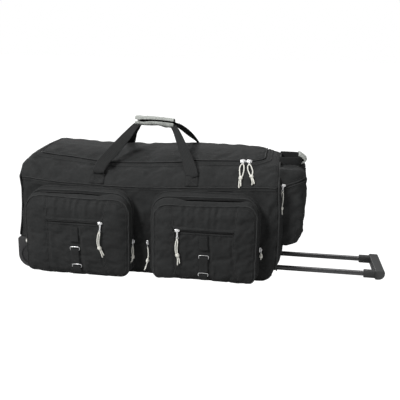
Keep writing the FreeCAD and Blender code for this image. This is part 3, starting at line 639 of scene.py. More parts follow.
def shaped(x, s):
    """The bag's surface in mm at (x, s), with the sag of the soft top and the slack or full ends."""
    yz = lookup(x, s)
    y, z = yz[..., 0], yz[..., 1]
    z = z + np.interp(s, [SEAM - 0.7, SEAM, ZIP], [0, 1, 0]) * np.interp(x, *SEAM_LIFT.T)
    z = z + np.interp(s, [SEAM, ZIP, HINGE], [0, 1, 0]) * np.interp(x, *ZIP_LIFT.T)
    z = z + np.interp(s, [ZIP, HINGE, BACK], [0, 1, 0]) * np.interp(x, *HINGE_LIFT.T)
    belly = ease((z - 20) / 60) * ease((270 - z) / 60)
    y = y + np.sign(y) * 2.5 * belly * (np.abs(y) > 150) * (1 - (x / LX) ** 6)
    slack = np.interp(z, [92, 150, 200, 250, 300, 330], [0, 9, 13, 14, 7, 0]) * ease((-300 - x) / 84)
    full = 7.0 * ease((x - 250) / 134) * ease((z - 25) / 50) * ease((330 - z) / 150)
    return np.stack([x + slack + full, y, z], -1)


def skin(x, s, off=0.0):
    """A point on the bag's surface, moved outward by off."""
    x, s = np.broadcast_arrays(np.asarray(x, float), np.asarray(s, float))
    p = shaped(x, s)
    dx = shaped(np.clip(x + 1.5, -LX, LX), s) - shaped(np.clip(x - 1.5, -LX, LX), s)
    ds = shaped(x, np.clip(s + 0.03, 0, END)) - shaped(x, np.clip(s - 0.03, 0, END))
    n = unit(np.cross(dx, ds))
    return p + n * np.broadcast_to(np.asarray(off, float), x.shape)[..., None]


def spaced(lo, hi, step):
    return np.linspace(lo, hi, max(2, int(round((hi - lo) / step)) + 1))


def rows_x():
    stops = [-LX, -376, -362, -350, -LID_X, WELL_X, -200, 0, 200, 300, LID_X, 350, 362, 376, LX]
    parts = [spaced(a, b, 8.0)[:-1] for a, b in zip(stops[:-1], stops[1:])]
    return np.concatenate(parts + [stops[-1:]])


def cols_s():
    counts = [12, 6, 9, 22, 7, 7, 28, 7, 24, 9, 6, 12]  # mesh columns between the landmarks
    return np.concatenate([np.linspace(k, k + 1, n + 1)[:-1] for k, n in enumerate(counts)] + [[END]])


# lid outline: x, and w the distance behind the front zip line

LID_RADII = (14.0, 44.0, 28.0, 24.0)  # front left, front right, back right, back left
YOKE_W, BACK_W = 46.0, 49.0  # width in mm of one step of s in front of the lid and behind it
CORE = (0.0, 0.0, 170.0)  # a point inside the bag


def s_of(w):
    behind = np.where(w > LID_W, HINGE + (w - LID_W) / BACK_W, ZIP + w / LID_W)
    return np.where(w < 0, ZIP + w / YOKE_W, behind)


def lid_sdf(x, w):
    """Signed distance to the rounded lid outline."""
    front = np.where(x < 0, LID_RADII[0], LID_RADII[1])
    radius = np.where(w < LID_W / 2, front, np.where(x < 0, LID_RADII[3], LID_RADII[2]))
    qx = np.abs(x) - LID_X + radius
    qw = np.abs(w - LID_W / 2) - LID_W / 2 + radius
    outside = np.hypot(np.maximum(qx, 0), np.maximum(qw, 0))
    return outside + np.minimum(np.maximum(qx, qw), 0) - radius


def square_to_round(u, v, half_u, half_v, radii):
    """Moves a rectangle's grid into a rounded rectangle: radii for (-,-) (+,-) (+,+) (-,+) corners."""
    u, v = np.array(u, float), np.array(v, float)
    for (su, sv), r in zip(((-1, -1), (1, -1), (1, 1), (-1, 1)), radii):
        cu, cv = (half_u - r) * su, (half_v - r) * sv
        a, b = (u - cu) * su, (v - cv) * sv
        m = (a > 0) & (b > 0)
        k = np.where(m, np.maximum(a, b) / np.maximum(np.hypot(a, b), 1e-9), 1.0)
        u = np.where(m, cu + a * k * su, u)
        v = np.where(m, cv + b * k * sv, v)
    return u, v


def lid_line(grow, step):
    """Points (x, w) along the lid outline moved out by grow: left side, front, right side."""
    hu, hv = LID_X + grow, LID_W / 2 + grow
    stop = LID_W / 2 - LID_RADII[2] - 4
    u = np.concatenate([np.full(60, -hu), np.linspace(-hu, hu, 300)[1:-1], np.full(60, hu)])
    v = np.concatenate([np.linspace(stop, -hv, 60), np.full(298, -hv), np.linspace(-hv, stop, 60)])
    u, v = square_to_round(u, v, hu, hv, [r + grow for r in LID_RADII])
    return resample(np.stack([u, v + LID_W / 2], 1), step)


def lid_xyz(line, off):
    return skin(line[:, 0], s_of(line[:, 1]), off)


# ------------------------------------------------------------------ creases and puckers


def near_line(x, z, line):
    """Distance from points to a polyline, and how far along it (0 to 1) the nearest place is."""
    best = np.full(np.shape(x), 1e9)
    where = np.zeros(np.shape(x))
    count = len(line) - 1
    for k, ((x0, z0), (x1, z1)) in enumerate(zip(line[:-1], line[1:])):
        dx, dz = x1 - x0, z1 - z0
        t = np.clip(((x - x0) * dx + (z - z0) * dz) / (dx * dx + dz * dz), 0, 1)
        d = np.hypot(x - x0 - t * dx, z - z0 - t * dz)
        where = np.where(d < best, (k + t) / count, where)
        best = np.minimum(best, d)
    return best, where


FOLD_GAIN = 1.9


def folds(x, z, lines):
    """Height in mm from soft folds: (polyline, height, width) each, fading towards both ends."""
    total = np.zeros(np.shape(x))
    for line, height, width in lines:
        d, t = near_line(x, z, line)
        total += FOLD_GAIN * height * np.exp(-(d / width) ** 2) * np.clip(4 * t * (1 - t), 0, 1) ** 0.5
    return total


# folds on the front panel in (x, height), then on the front yoke in (x, s), ending in a row of small puckers
FRONT_FOLDS = [
    ([(-372, 262), (-345, 232), (-335, 200)], 3.0, 7), ([(-380, 236), (-358, 196), (-352, 150)], 3.5, 8),
    ([(-382, 190), (-366, 150), (-350, 118)], 3.0, 7), ([(-374, 130), (-352, 92), (-344, 50)], 2.5, 7),
    ([(378, 268), (356, 236), (349, 190)], 3.5, 6), ([(384, 232), (366, 200), (350, 150)], 3.5, 6),
    ([(386, 196), (362, 160), (349, 120)], 3.0, 6), ([(386, 150), (364, 116), (350, 70)], 3.0, 6),
    ([(384, 104), (368, 74), (352, 40)], 2.5, 6), ([(-12, 250), (-4, 180), (-8, 80)], 1.6, 9),
]
YOKE_FOLDS = [
    ([(-350, 5.70), (-330, 5.1), (-296, 4.35)], -3.6, 9), ([(-372, 5.4), (-352, 4.9), (-326, 4.3)], 2.0, 9),
    ([(-322, 5.62), (-296, 5.0), (-262, 4.4)], 2.4, 11), ([(-268, 5.62), (-236, 5.0), (-196, 4.5)], -3.2, 10),
    ([(-246, 5.6), (-210, 5.05), (-172, 4.6)], 2.0, 11), ([(-104, 5.6), (-82, 5.1), (-50, 4.6)], -2.0, 10),
    ([(-64, 5.6), (-40, 5.1), (0, 4.6)], 1.6, 12), ([(30, 5.5), (20, 5.0), (-16, 4.5)], -1.4, 11),
    ([(112, 5.5), (84, 5.0), (60, 4.5)], -1.5, 11), ([(330, 5.7), (312, 5.2), (296, 4.8)], -2.2, 8),
    ([(376, 5.3), (352, 4.9), (338, 4.4)], -2.6, 7), ([(380, 5.9), (350, 5.6), (318, 5.5)], 2.2, 8),
    ([(368, 5.0), (346, 4.5), (334, 4.1)], 2.0, 7),
]
YOKE_FOLDS += [([(x, 5.62), (x + 9, 5.42)], -1.6, 5)
               for x in (-318, -286, -248, -206, -170, -60, -22, 20, 66, 214, 250, 282)]
YOKE_FOLDS = [([(x, s * YOKE_W) for x, s in line], height, width) for line, height, width in YOKE_FOLDS]

# ------------------------------------------------------------------ body shell


def body_grid():
    xs, ss = rows_x(), cols_s()
    gx, gs = np.meshgrid(xs, ss[:-1], indexing="ij")
    nx, ns = gx.shape
    faces, used = [], np.zeros(nx * ns, bool)
    for i in range(nx - 1):
        for j in range(ns):
            sm, xm = (ss[j] + ss[j + 1]) / 2, (xs[i] + xs[i + 1]) / 2
            if xm < WELL_X and (B0 < sm < W0 or W1 < sm < J1):
                continue
            if ZIP < sm < HINGE and lid_sdf(xm, (sm - ZIP) * LID_W) < 0:
                continue
            jn = (j + 1) % ns
            f = (i * ns + j, (i + 1) * ns + j, (i + 1) * ns + jn, i * ns + jn)
            faces.append(f)
            used[list(f)] = True
    # the rim of the lid opening is moved onto the rounded outline
    w = (gs - ZIP) * LID_W
    inside = used.reshape(nx, ns) & (gs > ZIP - 0.001) & (gs < HINGE + 0.001) & (lid_sdf(gx, w) < -0.01)
    x, ww = gx[inside], w[inside]
    for _ in range(8):
        d = lid_sdf(x, ww)
        ex = (lid_sdf(x + 0.5, ww) - d) / 0.5
        ew = (lid_sdf(x, ww + 0.5) - d) / 0.5
        x, ww = x - d * ex, ww - d * ew
    gx[inside], gs[inside] = x, ZIP + ww / LID_W
    return gx, gs, faces, used


def body_shell():
    gx, gs, faces, used = body_grid()
    z = shaped(gx, gs)[..., 2]
    off = 3.5 * ease((gs - SEAM) / 0.7) * ease((ZIP - gs) / 0.9)
    off += 0.5 * ease((gs - HINGE) / 0.6) * ease((BACK - gs) / 0.6)
    off -= 3.0 * ease((np.abs(gx) - 370) / 14)
    off -= 1.6 * np.exp(-((gs - SEAM) / 0.09) ** 2) + 1.6 * np.exp(-((gs - BACK) / 0.09) ** 2)
    front = (gs > B1 + 0.2) & (gs < SEAM + 0.3)
    crease = np.where(front, folds(gx, z, FRONT_FOLDS), 0)
    yoke = (gs > SEAM) & (gs < ZIP)
    crease += np.where(yoke, folds(gx, gs * YOKE_W, YOKE_FOLDS), 0)
    rear = gs > HINGE
    drift = wave_noise(np.stack([gx.ravel(), gs.ravel() * 60, 0 * gx.ravel()], 1), 120.0, 3).reshape(gx.shape)
    off += drift * np.where(rear, 2.5, 0.8) * (gs > B1) * (gs < J0)
    points = skin(gx, gs, off)
    late = (skin(gx, gs, off + crease) - points).reshape(-1, 3) * MM
    keep = np.nonzero(used)[0]
    index = -np.ones(gx.size, int)
    index[keep] = np.arange(len(keep))
    uv = np.stack([gx, np.interp(gs, np.arange(END + 1), MID_MARKS)], -1).reshape(-1, 2)[keep] * MM
    ob = build("bag_shell", [(points.reshape(-1, 3)[keep], [tuple(index[list(f)]) for f in faces], uv)],
               "body", "bag", CORE)
    s, x = gs.ravel()[keep], gx.ravel()[keep]
    pins = np.zeros(len(keep))
    for mark in (SEAM, BACK, HINGE, B1, J0, A):
        pins = np.maximum(pins, np.clip(1 - np.abs(s - mark) * 12, 0, 1))
    pins = np.maximum(pins, np.clip(1.25 - (LX - np.abs(x)) / 6, 0, 1))
    pins = np.maximum(pins, (s > ZIP - 0.42) & (s < HINGE + 0.1))
    pins = np.maximum(pins, np.where((s < B1) | (s > J0), 0.7, 0))
    pins = np.maximum(pins, (x < WELL_X + 6) & ((s < W0 + 0.06) | (s > W1 - 0.06)))
    behind_pocket = (s > B1) & (s < SEAM - 0.15) & ((np.abs(x + 184) < 150) | (np.abs(x - 180) < 152))
    pins = np.maximum(pins, np.where(behind_pocket, 0.6, 0))
    cloth(ob, pins, late[keep], pressure=0.25, shrink=-0.03, cap=5.0, bend=0.8, stiff=10, seed=1,
          rough=1.8)
    return ob


def end_panel(name, side, bulge, low):
    """The flat end between the two sides of the end section, in rows of level height."""
    x = side * LX
    line = shaped(np.full(len(TS), x), TS)
    low_z, high_z = line[:, 2].min(), line[:, 2].max()
    top = int(np.argmax(line[:, 2]))
    front, rear = line[:top + 1], line[top:][::-1]
    rows, cols = 46, 42
    zz = low_z + (high_z - low_z) * (0.5 - 0.5 * np.cos(np.linspace(0.02, math.pi - 0.02, rows)))
    q = np.linspace(-1, 1, cols)
    points = np.zeros((rows, cols, 3))
    for r, z in enumerate(zz):
        xf, yf, _ = along(front, np.maximum.accumulate(front[:, 2]), z)
        _, yb, _ = along(rear, np.maximum.accumulate(rear[:, 2]), z)
        if side < 0 and z < WELL_Z:
            yf, yb = max(yf, -WELL_Y), min(yb, WELL_Y)
        t = (z - low_z) / (high_z - low_z)
        dome = (1 - np.abs(q) ** 4) * (math.sin(math.pi * t ** low) ** 0.6)
        points[r, :, 1], points[r, :, 2] = (yf + yb) / 2 + (yb - yf) / 2 * q, z
        points[r, :, 0] = xf + side * bulge * dome
    drift = wave_noise(points.reshape(-1, 3), 90.0, 8).reshape(rows, cols)
    inner = (1 - np.abs(q) ** 6)[None] * (1 - np.abs(np.linspace(-1, 1, rows)) ** 8)[:, None]
    points[..., 0] += drift * 2.0 * inner
    ob = build(name, [sheet(points, points[..., 1:] * MM)], "body", "bag", CORE)
    pins = np.zeros((rows, cols))
    pins[[0, 1, -1, -2]] = 1
    pins[:, [0, -1]] = 1
    cloth(ob, pins.ravel(), 0.0, pressure=0.8, shrink=-0.03, cap=5.0, bend=0.12, stiff=10, seed=3,
          rough=1.2)
    return ob


def lid_shell():
    hu, hw = LID_X - 2, LID_W / 2 - 2
    lu, lw = np.meshgrid(spaced(-hu, hu, 8), spaced(-hw, hw, 8), indexing="ij")
    lu, lw = square_to_round(lu, lw, hu, hw, [r - 2 for r in LID_RADII])
    w = lw + LID_W / 2
    depth = -lid_sdf(lu, w)
    off = 3.0 + 1.5 * ease(depth / 50) - 2.5 * (1 - ease(depth / 5))
    off = off * ease((LID_W - w) / 14) + 1.0 * (1 - ease((LID_W - w) / 14))
    points = skin(lu, s_of(w), off)
    ob = build("lid_fabric", [sheet(points, np.stack([lu, lw], -1) * MM)], "lid", "lid", CORE)
    pins = np.clip(1.4 - depth.ravel() / 9.0, 0, 1)
    cloth(ob, pins, 0.0, pressure=0.3, shrink=-0.02, cap=4.0, bend=0.25, stiff=12, seed=7, rough=1.6)
    return ob


shell = body_shell()
end_right = end_panel("handle_end_fabric", 1, 9.0, 0.55)
end_left = end_panel("wheel_end_fabric", -1, 4.0, 1.0)
lid = lid_shell()

# ------------------------------------------------------------------ front pockets

POCKETS = {
    "left": dict(
        back=(-338, -31), face=(-337, -33), arch=[(-338, 258), (-129, 260), (-31, 256)],
        slit=[(-334, 251), (-180, 254), (-76, 251), (-40, 247)],
        brow=[(-339, 232), (-290, 240), (-230, 238), (-159, 234), (-83, 237), (-32, 234)],
        foot=[(-338, 19), (-274, 14), (-54, 14), (-32, 20)],
        seams=[[(-272, 236), (-270, 170), (-267, 80), (-266, 10)],
               [(-91, 236), (-108, 172), (-106, 121), (-101, 55), (-86, 10)]],
        pleat=[(-172, 166), (-168, 100), (-163, 60), (-158, 12)], puckers=(-262, -100), gape=(-312, -104)),
    "right": dict(
        back=(23, 337), face=(44, 329), arch=[(23, 257), (107, 264), (278, 264), (337, 258)],
        slit=[(60, 250), (169, 253), (304, 256), (330, 253)],
        brow=[(44, 231), (95, 231), (173, 231), (270, 237), (328, 242)],
        foot=[(44, 18), (102, 23), (178, 24), (328, 20)],
        seams=[[(94, 230), (102, 158), (107, 10)],
               [(278, 238), (269, 169), (268, 117), (278, 53), (291, 10)]],
        pleat=[(206, 160), (209, 100), (212, 60), (215, 14)], puckers=(110, 262), gape=(110, 300)),
}
BODY_Y, GUSSET_Y, FLAP_Y, FACE_Y, FOOT_Z = -160.5, -186.0, -188.6, -215.0, 15.0


def along_line(line, x):
    line = np.array(line, float)
    return np.interp(x, line[:, 0], line[:, 1])


def pocket_xyz(pk, p, q, depth, y):
    """p, q in -1..1 over the pocket; depth 0 at the body to 1 at the face narrows and lowers the outline."""
    lo, hi = (pk["back"][k] + (pk["face"][k] - pk["back"][k]) * depth for k in (0, 1))
    half_u, half_v = (hi - lo) / 2, 115.0
    r_top, r_low = 50 - 14 * depth, 18.0
    u, v = square_to_round(p * half_u, q * half_v, half_u, half_v, (r_low, r_low, r_top, r_top))
    x = (lo + hi) / 2 + u
    t = (v / half_v + 1) / 2
    levels = [along_line(pk[k], x) for k in ("arch", "slit", "brow")]
    top = np.where(depth < 0.5, levels[0] + (levels[1] - levels[0]) * depth * 2,
                   levels[1] + (levels[2] - levels[1]) * (depth * 2 - 1))
    foot = FOOT_Z + (along_line(pk["foot"], x) - FOOT_Z) * depth
    return np.stack(np.broadcast_arrays(x, y, foot + (top - foot) * t), -1)


def rim_pairs(m, n):
    """Boundary of an m by n grid as (i, j) pairs, once around from the bottom left."""
    out = [(i, 0) for i in range(m)] + [(m - 1, j) for j in range(1, n)]
    return out + [(i, n - 1) for i in range(m - 2, -1, -1)] + [(0, j) for j in range(n - 2, 0, -1)]


PM, PN = 61, 49
RIM = rim_pairs(PM, PN)
RIM_P = np.array([np.linspace(-1, 1, PM)[i] for i, j in RIM])
RIM_Q = np.array([np.linspace(-1, 1, PN)[j] for i, j in RIM])
RIM_D = run_length(np.stack([RIM_P * 150, RIM_Q * 115], 1))


GAPE_DROP = 7.0  # how far the flap's edge hangs below the half-open zip


def rim_ring(pk, depth, y, grow):
    """The pocket's outline at a depth, pushed out by grow mm in its own plane."""
    ring = pocket_xyz(pk, RIM_P, RIM_Q, depth, y)
    if 0.495 < depth < 0.75:
        a, b = pk["gape"]
        x = ring[:, 0]
        open_here = ease((x - a + 15) / 40) * ease((b + 15 - x) / 40) * ease((RIM_Q - 0.7) / 0.2)
        ring[:, 2] -= GAPE_DROP * open_here * ease((0.76 - depth) / 0.2)
    centre = ring.mean(0)
    t = np.roll(ring, -1, 0) - np.roll(ring, 1, 0)
    n = unit(np.stack([t[:, 2], 0 * t[:, 0], -t[:, 0]], 1))
    if np.mean(np.sum(n * (ring - centre), 1)) < 0:
        n = -n
    return ring + n * grow


def ring_wall(pk, levels, prev=None, count=0):
    """Rows of outline rings joined into a wall, after the ring prev of a mesh with count points;
    levels are (depth, y, grow)."""
    points, faces, uvs = [], [], []
    for depth, y, grow in levels:
        ids = np.arange(count, count + len(RIM))
        if prev is not None:
            for k in range(len(RIM)):
                n = (k + 1) % len(RIM)
                faces.append((prev[k], ids[k], ids[n], prev[n]))
        points.append(rim_ring(pk, depth, y, grow))
        uvs.append(np.stack([RIM_D * MM, np.full(len(RIM), (y + 300) * MM)], -1))
        prev, count = ids, count + len(RIM)
    return np.concatenate(points), faces, np.concatenate(uvs)


def side_of(line, x, z):
    """How far x is to the right of a line of (x, z) points that runs up or down the face."""
    return x - along_line([(b, a) for a, b in sorted(line, key=lambda v: v[1])], z)


def face_relief(pk, x, z, p, q):
    """How far the pocket's face stands out, in mm: crown, sewn seams, pleat and puckers under the brow."""
    t = (q + 1) / 2
    crown = 0.68
    rise = np.where(t > crown, 1 - (np.abs(t - crown) / 0.32) ** 1.5,
                    1 - 0.4 * (np.abs(crown - t) / crown) ** 1.6)
    out = 12.0 * rise - 9.0 * np.maximum(0, (np.abs(p) - 0.46) / 0.54) ** 1.15 - 1.0
    out = out * (1 - np.maximum(np.abs(p), np.abs(q)) ** 14)
    for k, line in enumerate(pk["seams"]):
        d, _ = near_line(x, z, line)
        outer = side_of(line, x, z) * (1 if k else -1) > 0
        out += 2.2 * outer * np.exp(-(d / 16.0)) - 2.2 * np.exp(-(d / 5.0) ** 2)
    d, _ = near_line(x, z, pk["pleat"])
    right = side_of(pk["pleat"], x, z) > 0
    below = ease((168 - z) / 10)
    out += below * (4.0 * right * np.exp(-d / 14.0) - 1.4 * (~right) * np.exp(-(d / 5) ** 2))
    a, b = pk["puckers"]
    drop = along_line(pk["brow"], x) - z
    gate = ease((x - a) / 20) * ease((b - x) / 20)
    ripple = np.sin(x * 0.27 + 1.3 * np.sin(x * 0.061)) + 0.5 * np.sin(x * 0.41 + 2.0)
    out += gate * 4.0 * ripple * np.exp(-drop / 20.0) * ease(drop / 5.0)
    out += 3.2 * np.exp(-((drop - 26) / 16.0) ** 2) * (1 - np.abs(p) ** 6)
    return out


def pocket_core(pk):
    """A point inside the pocket."""
    return sum(pk["back"]) / 2, -180.0, 140.0


def pocket_flap(side):
    pk = POCKETS[side]
    p, q = np.meshgrid(np.linspace(-1, 1, PM), np.linspace(-1, 1, PN), indexing="ij")
    rim_soft = np.maximum(np.abs(p) ** 8, np.abs(q) ** 8) ** 2
    face = pocket_xyz(pk, p, q, 1.0, FACE_Y)
    face[..., 1] += 6.0 * rim_soft - face_relief(pk, face[..., 0], face[..., 2], p, q)
    face_ids = np.array([i * PN + j for i, j in RIM])
    levels = [(0.93, -209.5, 1.4), (0.80, -203.5, 1.8), (0.68, -197.5, 1.6), (0.58, -192.5, 0.8),
              (0.53, -189.6, -1.6), (0.52, FLAP_Y, -5.0)]
    points, faces, uvs = ring_wall(pk, levels, face_ids, PM * PN)
    geo_points = np.concatenate([face.reshape(-1, 3), points])
    geo_uv = np.concatenate([face[..., [0, 2]].reshape(-1, 2) * MM, uvs])
    ob = build(side + "_flap_fabric", [(geo_points, grid_faces(PM, PN) + faces, geo_uv)], "body",
               side + "_flap", pocket_core(pk))
    pins = np.zeros(len(geo_points))
    held = np.zeros(p.shape)
    for line, width in [(line, 5.0) for line in pk["seams"]] + [(pk["pleat"], 4.0)]:
        d, _ = near_line(face[..., 0], face[..., 2], line)
        held = np.maximum(held, np.clip(1.2 - d / width, 0, 1) * 0.9)
    lo, hi = spot_box(side + "_face_zip")
    zip_z = (lo[2] + hi[2]) / 2
    d, _ = near_line(face[..., 0], face[..., 2], [(lo[0], zip_z), (hi[0], zip_z)])
    held = np.maximum(held, np.clip(1.8 - d / 6.0, 0, 1))
    lo, hi = spot_box(side + "_pocket_strap")
    mid = (lo[0] + hi[0]) / 2
    d, _ = near_line(face[..., 0], face[..., 2], [(mid, lo[2]), (mid, hi[2])])
    held = np.maximum(held, np.clip(1.8 - d / 12.0, 0, 0.9))
    edge = np.maximum(np.abs(p), np.abs(q)) > 0.999
    pins[:PM * PN] = np.where(edge, 1.0, held).ravel()
    pins[-2 * len(RIM):] = 1
    pins[-3 * len(RIM):-2 * len(RIM)] = 0.5
    cloth(ob, pins, 0.0, pressure=0.35, shrink=-0.03, cap=4.0, bend=0.5, stiff=10, seed=20 + len(side),
          rough=1.5)
    return ob


def pocket_gusset(side):
    pk = POCKETS[side]
    levels = [(0.46, GUSSET_Y + 0.6, -4.2), (0.45, -184.8, -0.8), (0.42, -182.0, 1.4), (0.32, -177.5, 2.4),
              (0.2, -171.0, 2.4), (0.08, -164.5, 1.2), (0.0, BODY_Y, 0.0)]
    return build(side + "_gusset_fabric", [ring_wall(pk, levels)], "body", "bag", pocket_core(pk))


flaps = {side: pocket_flap(side) for side in POCKETS}
gussets = {side: pocket_gusset(side) for side in POCKETS}

# ------------------------------------------------------------------ end pocket

EP_Y, EP_IN, EP_OUT = 130.0, 384.0, 461.0


def pouch_plan():
    """Half-round plan of the end pocket, (x, y) from the front inner edge round to the back one."""
    u = np.concatenate([np.full(12, -1.0), np.linspace(-1, 1, 64), np.full(12, 1.0)])
    x = np.concatenate([np.linspace(0, 1, 13)[:-1], np.ones(64), np.linspace(1, 0, 13)[1:]])
    pts = np.stack([EP_IN + x * (EP_OUT - EP_IN), u * EP_Y], 1)
    a, b = square_to_round(pts[:, 0] - EP_IN, pts[:, 1], EP_OUT - EP_IN, EP_Y, (1, 26, 26, 1))
    b[x < 0.5] = pts[x < 0.5, 1]
    return resample(np.stack([a + EP_IN, b], 1), 6.0)


def zip_level(x):
    """Height of the end pocket's zip, which climbs away from the bag."""
    return 277.0 + (np.asarray(x) - EP_IN) * 30.0 / 77.0


POUCH_FOLDS = [
    ([(386, 246), (412, 252), (436, 266), (456, 288)], -2.0, 8),
    ([(386, 228), (416, 226), (446, 236)], 1.8, 9),
    ([(386, 198), (414, 188), (450, 186)], -2.0, 9), ([(386, 172), (410, 160), (436, 158)], 1.8, 9),
    ([(386, 146), (404, 138), (430, 134)], -1.8, 8), ([(440, 262), (450, 220), (446, 176)], 1.6, 8),
    ([(388, 312), (412, 306), (440, 314)], -1.6, 7), ([(400, 322), (424, 318), (446, 324)], 1.4, 7),
]


def pouch(name, key_levels, seed, cap, noise):
    """Soft pouch; key_levels are rows of (height function, plan depth, plan width) from the zip inwards."""
    plan = pouch_plan()
    rows = []
    for height, deep, wide in key_levels:
        x = EP_IN + (plan[:, 0] - EP_IN) * deep
        rows.append(np.stack([x, plan[:, 1] * wide, height(x)], 1))
    keys = np.array(rows)
    gaps = [np.linalg.norm(b - a, axis=1).mean() for a, b in zip(keys, keys[1:])]
    steps = np.concatenate([[0], np.cumsum(gaps)])
    at = np.linspace(0, steps[-1], max(8, int(steps[-1] / 6.0)))
    points = np.stack([along(keys[:, k], steps, at) for k in range(keys.shape[1])], 1)
    shape = points.shape[:2]
    wrinkle = wave_noise(points.reshape(-1, 3) * np.array([1, 1, 1.6]), 46.0, seed, 2).reshape(shape)
    out = unit(points - np.array([EP_IN - 20, 0, points[..., 2].mean()]))
    free = np.ones(shape)
    free[:2] = free[-2:] = 0
    free[:, [0, -1]] = 0
    points = points + out * (wrinkle * noise * free)[..., None]
    late = np.zeros(points.shape)
    crease = folds(points[..., 0], points[..., 2], POUCH_FOLDS)
    late[..., 1] = -crease * free * (points[..., 1] < -90)
    ob = build(name, [sheet(points, spread_uv(run_length(plan)[None], at[:, None]))], "body", "bag",
               (400.0, 0.0, points[..., 2].mean()))
    cloth(ob, 1 - free.ravel(), late.reshape(-1, 3) * MM, pressure=0.6, shrink=-0.04, cap=cap, bend=0.3,
          stiff=8, seed=seed, rough=1.6)
    return ob


def at_height(z):
    return lambda x: np.full(len(x), z)


def zip_edge(rise, flatten=0.0, towards=0.0):
    """A height that follows the zip, or is blended towards a level."""
    return lambda x: (zip_level(x) + rise) * (1 - flatten) + towards * flatten


bucket = pouch("end_pocket_fabric", [
    (zip_edge(-1.0), 0.97, 1.0), (zip_edge(-8.0), 1.0, 1.0), (at_height(215.0), 1.0, 1.0),
    (at_height(160.0), 0.99, 0.99), (at_height(136.0), 0.92, 0.98), (at_height(118.0), 0.76, 0.965),
    (at_height(111.5), 0.50, 0.95), (at_height(118.0), 0.0, 0.93)], 31, 6.0, 4.5)
hood = pouch("end_pocket_cap_fabric", [
    (zip_edge(6.0), 0.95, 1.0), (zip_edge(11.0), 0.97, 1.0), (zip_edge(11.0, 0.5, 320.0), 0.955, 1.0),
    (at_height(326.0), 0.89, 0.985), (at_height(333.0), 0.7, 0.95), (at_height(334.0), 0.0, 0.93)],
    37, 5.0, 4.0)

run_cloths()

# ------------------------------------------------------------------ finish of the sewn shells

SKINS = {"shell": Skin(shell, CORE), "lid": Skin(lid, CORE), "bucket": Skin(bucket, (400, 0, 210)),
         "hood": Skin(hood, (400, 0, 290))}
SKINS.update({side: Skin(flaps[side], pocket_core(pk)) for side, pk in POCKETS.items()})

SHELL_NODES = ("bottom_panel", "front_panel", "back_panel", "front_yoke", "back_yoke")
FINISH = [(shell, 2.2, SHELL_NODES), (end_right, 2.2, ("handle_end_panel",)),
          (end_left, 2.2, ("wheel_end_panel",)), (lid, 2.8, ("lid_panel",)), (bucket, 1.8, ("end_pocket",)),
          (hood, 1.8, ("end_pocket_cap",))]
FINISH += [(flaps[side], 1.6, (side + "_pocket_flap",)) for side in POCKETS]
FINISH += [(gussets[side], 1.6, (side + "_pocket_gusset",)) for side in POCKETS]
for ob, mm, nodes in FINISH:
    subdivide(ob)
    thicken(ob, mm, -1.0, lined=True)
    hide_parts(*nodes)

# ------------------------------------------------------------------ piping and stitching on the shell


def on_shell(x, s_at, off):
    x = np.asarray(x, float)
    return SKINS["shell"].near(skin(x, np.broadcast_to(s_at, x.shape), 2.0), off)


def seam_work(name, x, s_at, gap):
    """A piped seam along the bag with a row of stitches to either side, gap away in s."""
    radius = 1.6
    spots, _ = on_shell(x, s_at, 0.8)
    twin, _ = on_shell(x, s_at - gap * 0.42, 0.3)
    build(name + "_piping", [tube(spots, radius, 8), tube(twin, radius * 0.7, 6)], "pipe", "bag")
    build(name + "_stitches", [sew(*on_shell(x, s_at + g, 0.2)) for g in (-gap, gap)], "thread", "bag")


long_x = spaced(-379, 379, 5)
seam_work("front_seam", long_x, SEAM, 0.085)
seam_work("back_seam", long_x, BACK, 0.11)

end_s = np.linspace(0, END, 361)
past_wells = end_s[(end_s > W0 + 0.02) & (end_s < W1 - 0.02)]
for name, x, at, closed in (("handle_end", LX - 0.5, end_s[:-1], True),
                            ("wheel_end", -LX + 0.5, past_wells, False)):
    ring = shaped(np.full(len(at), x), at)
    build(name + "_piping", [tube(ring, 2.2, 8, closed=closed)], "pipe", "bag")
    spots = on_shell(np.full(len(at), x - math.copysign(7.0, x)), at, 0.2)
    build(name + "_stitches", [sew(*spots)], "thread", "bag")

# ------------------------------------------------------------------ top zip

def outline(grow):
    """The lid outline moved out by grow, always with the same number of points."""
    path = lid_line(grow, 2.0)
    d = run_length(path)
    return along(path, d, np.linspace(0, d[-1], 420))


def lid_band(rows):
    """Rows of (grow, off) along the outline, resting on the shell from 4 mm outwards."""
    points = []
    for grow, off in rows:
        if grow > 4:
            points.append(SKINS["shell"].near(lid_xyz(outline(grow), 3.0), off)[0])
        else:
            points.append(lid_xyz(outline(grow), off))
    points = np.array(points)
    return sheet(points, spread_uv(run_length(points[0])[None], np.array([g for g, _ in rows])[:, None]))


def on_outline(which, grow, off, above=3.0):
    return SKINS[which].near(lid_xyz(outline(grow), above), off)


band = build("zip_facing", [lid_band([(2.2, -1.5), (2.0, 1.2), (2.6, 2.8), (4.0, 3.0), (6.0, 2.2), (9.0, 1.4),
                                      (13.0, 1.3), (16.0, 1.3), (17.5, 0.9), (18.0, 0.1)])], "body", "bag",
             CORE)
subdivide(band)
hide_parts("lid_zip_fixed_tape")
build("zip_facing_stitches", [sew(*on_outline("shell", 15.4, 1.5)), sew(*on_outline("shell", 7.0, 2.0))],
      "thread", "bag")
build("zip_tape_bag", [lid_band([(3.0, -2.2), (1.6, -1.8), (0.6, -1.6), (0.3, -1.0)]),
                       tube(lid_xyz(outline(0.9), -0.8), 1.2, 6)], "coil", "bag")
tape = build("zip_tape_lid", [lid_band([(-0.2, -1.0), (-0.6, -1.6), (-2.0, -1.8), (-4.0, -0.6)]),
                              tube(lid_xyz(outline(-0.9), -0.8), 1.2, 6)], "coil", "lid")
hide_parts("lid_zip_lid_tape")
build("lid_edge_piping", [tube(on_outline("lid", -3.0, 0.9)[0], 2.0, 8)], "pipe", "lid")
build("lid_edge_stitches", [sew(*on_outline("lid", -9.0, 0.2, 5.0))], "thread", "lid")
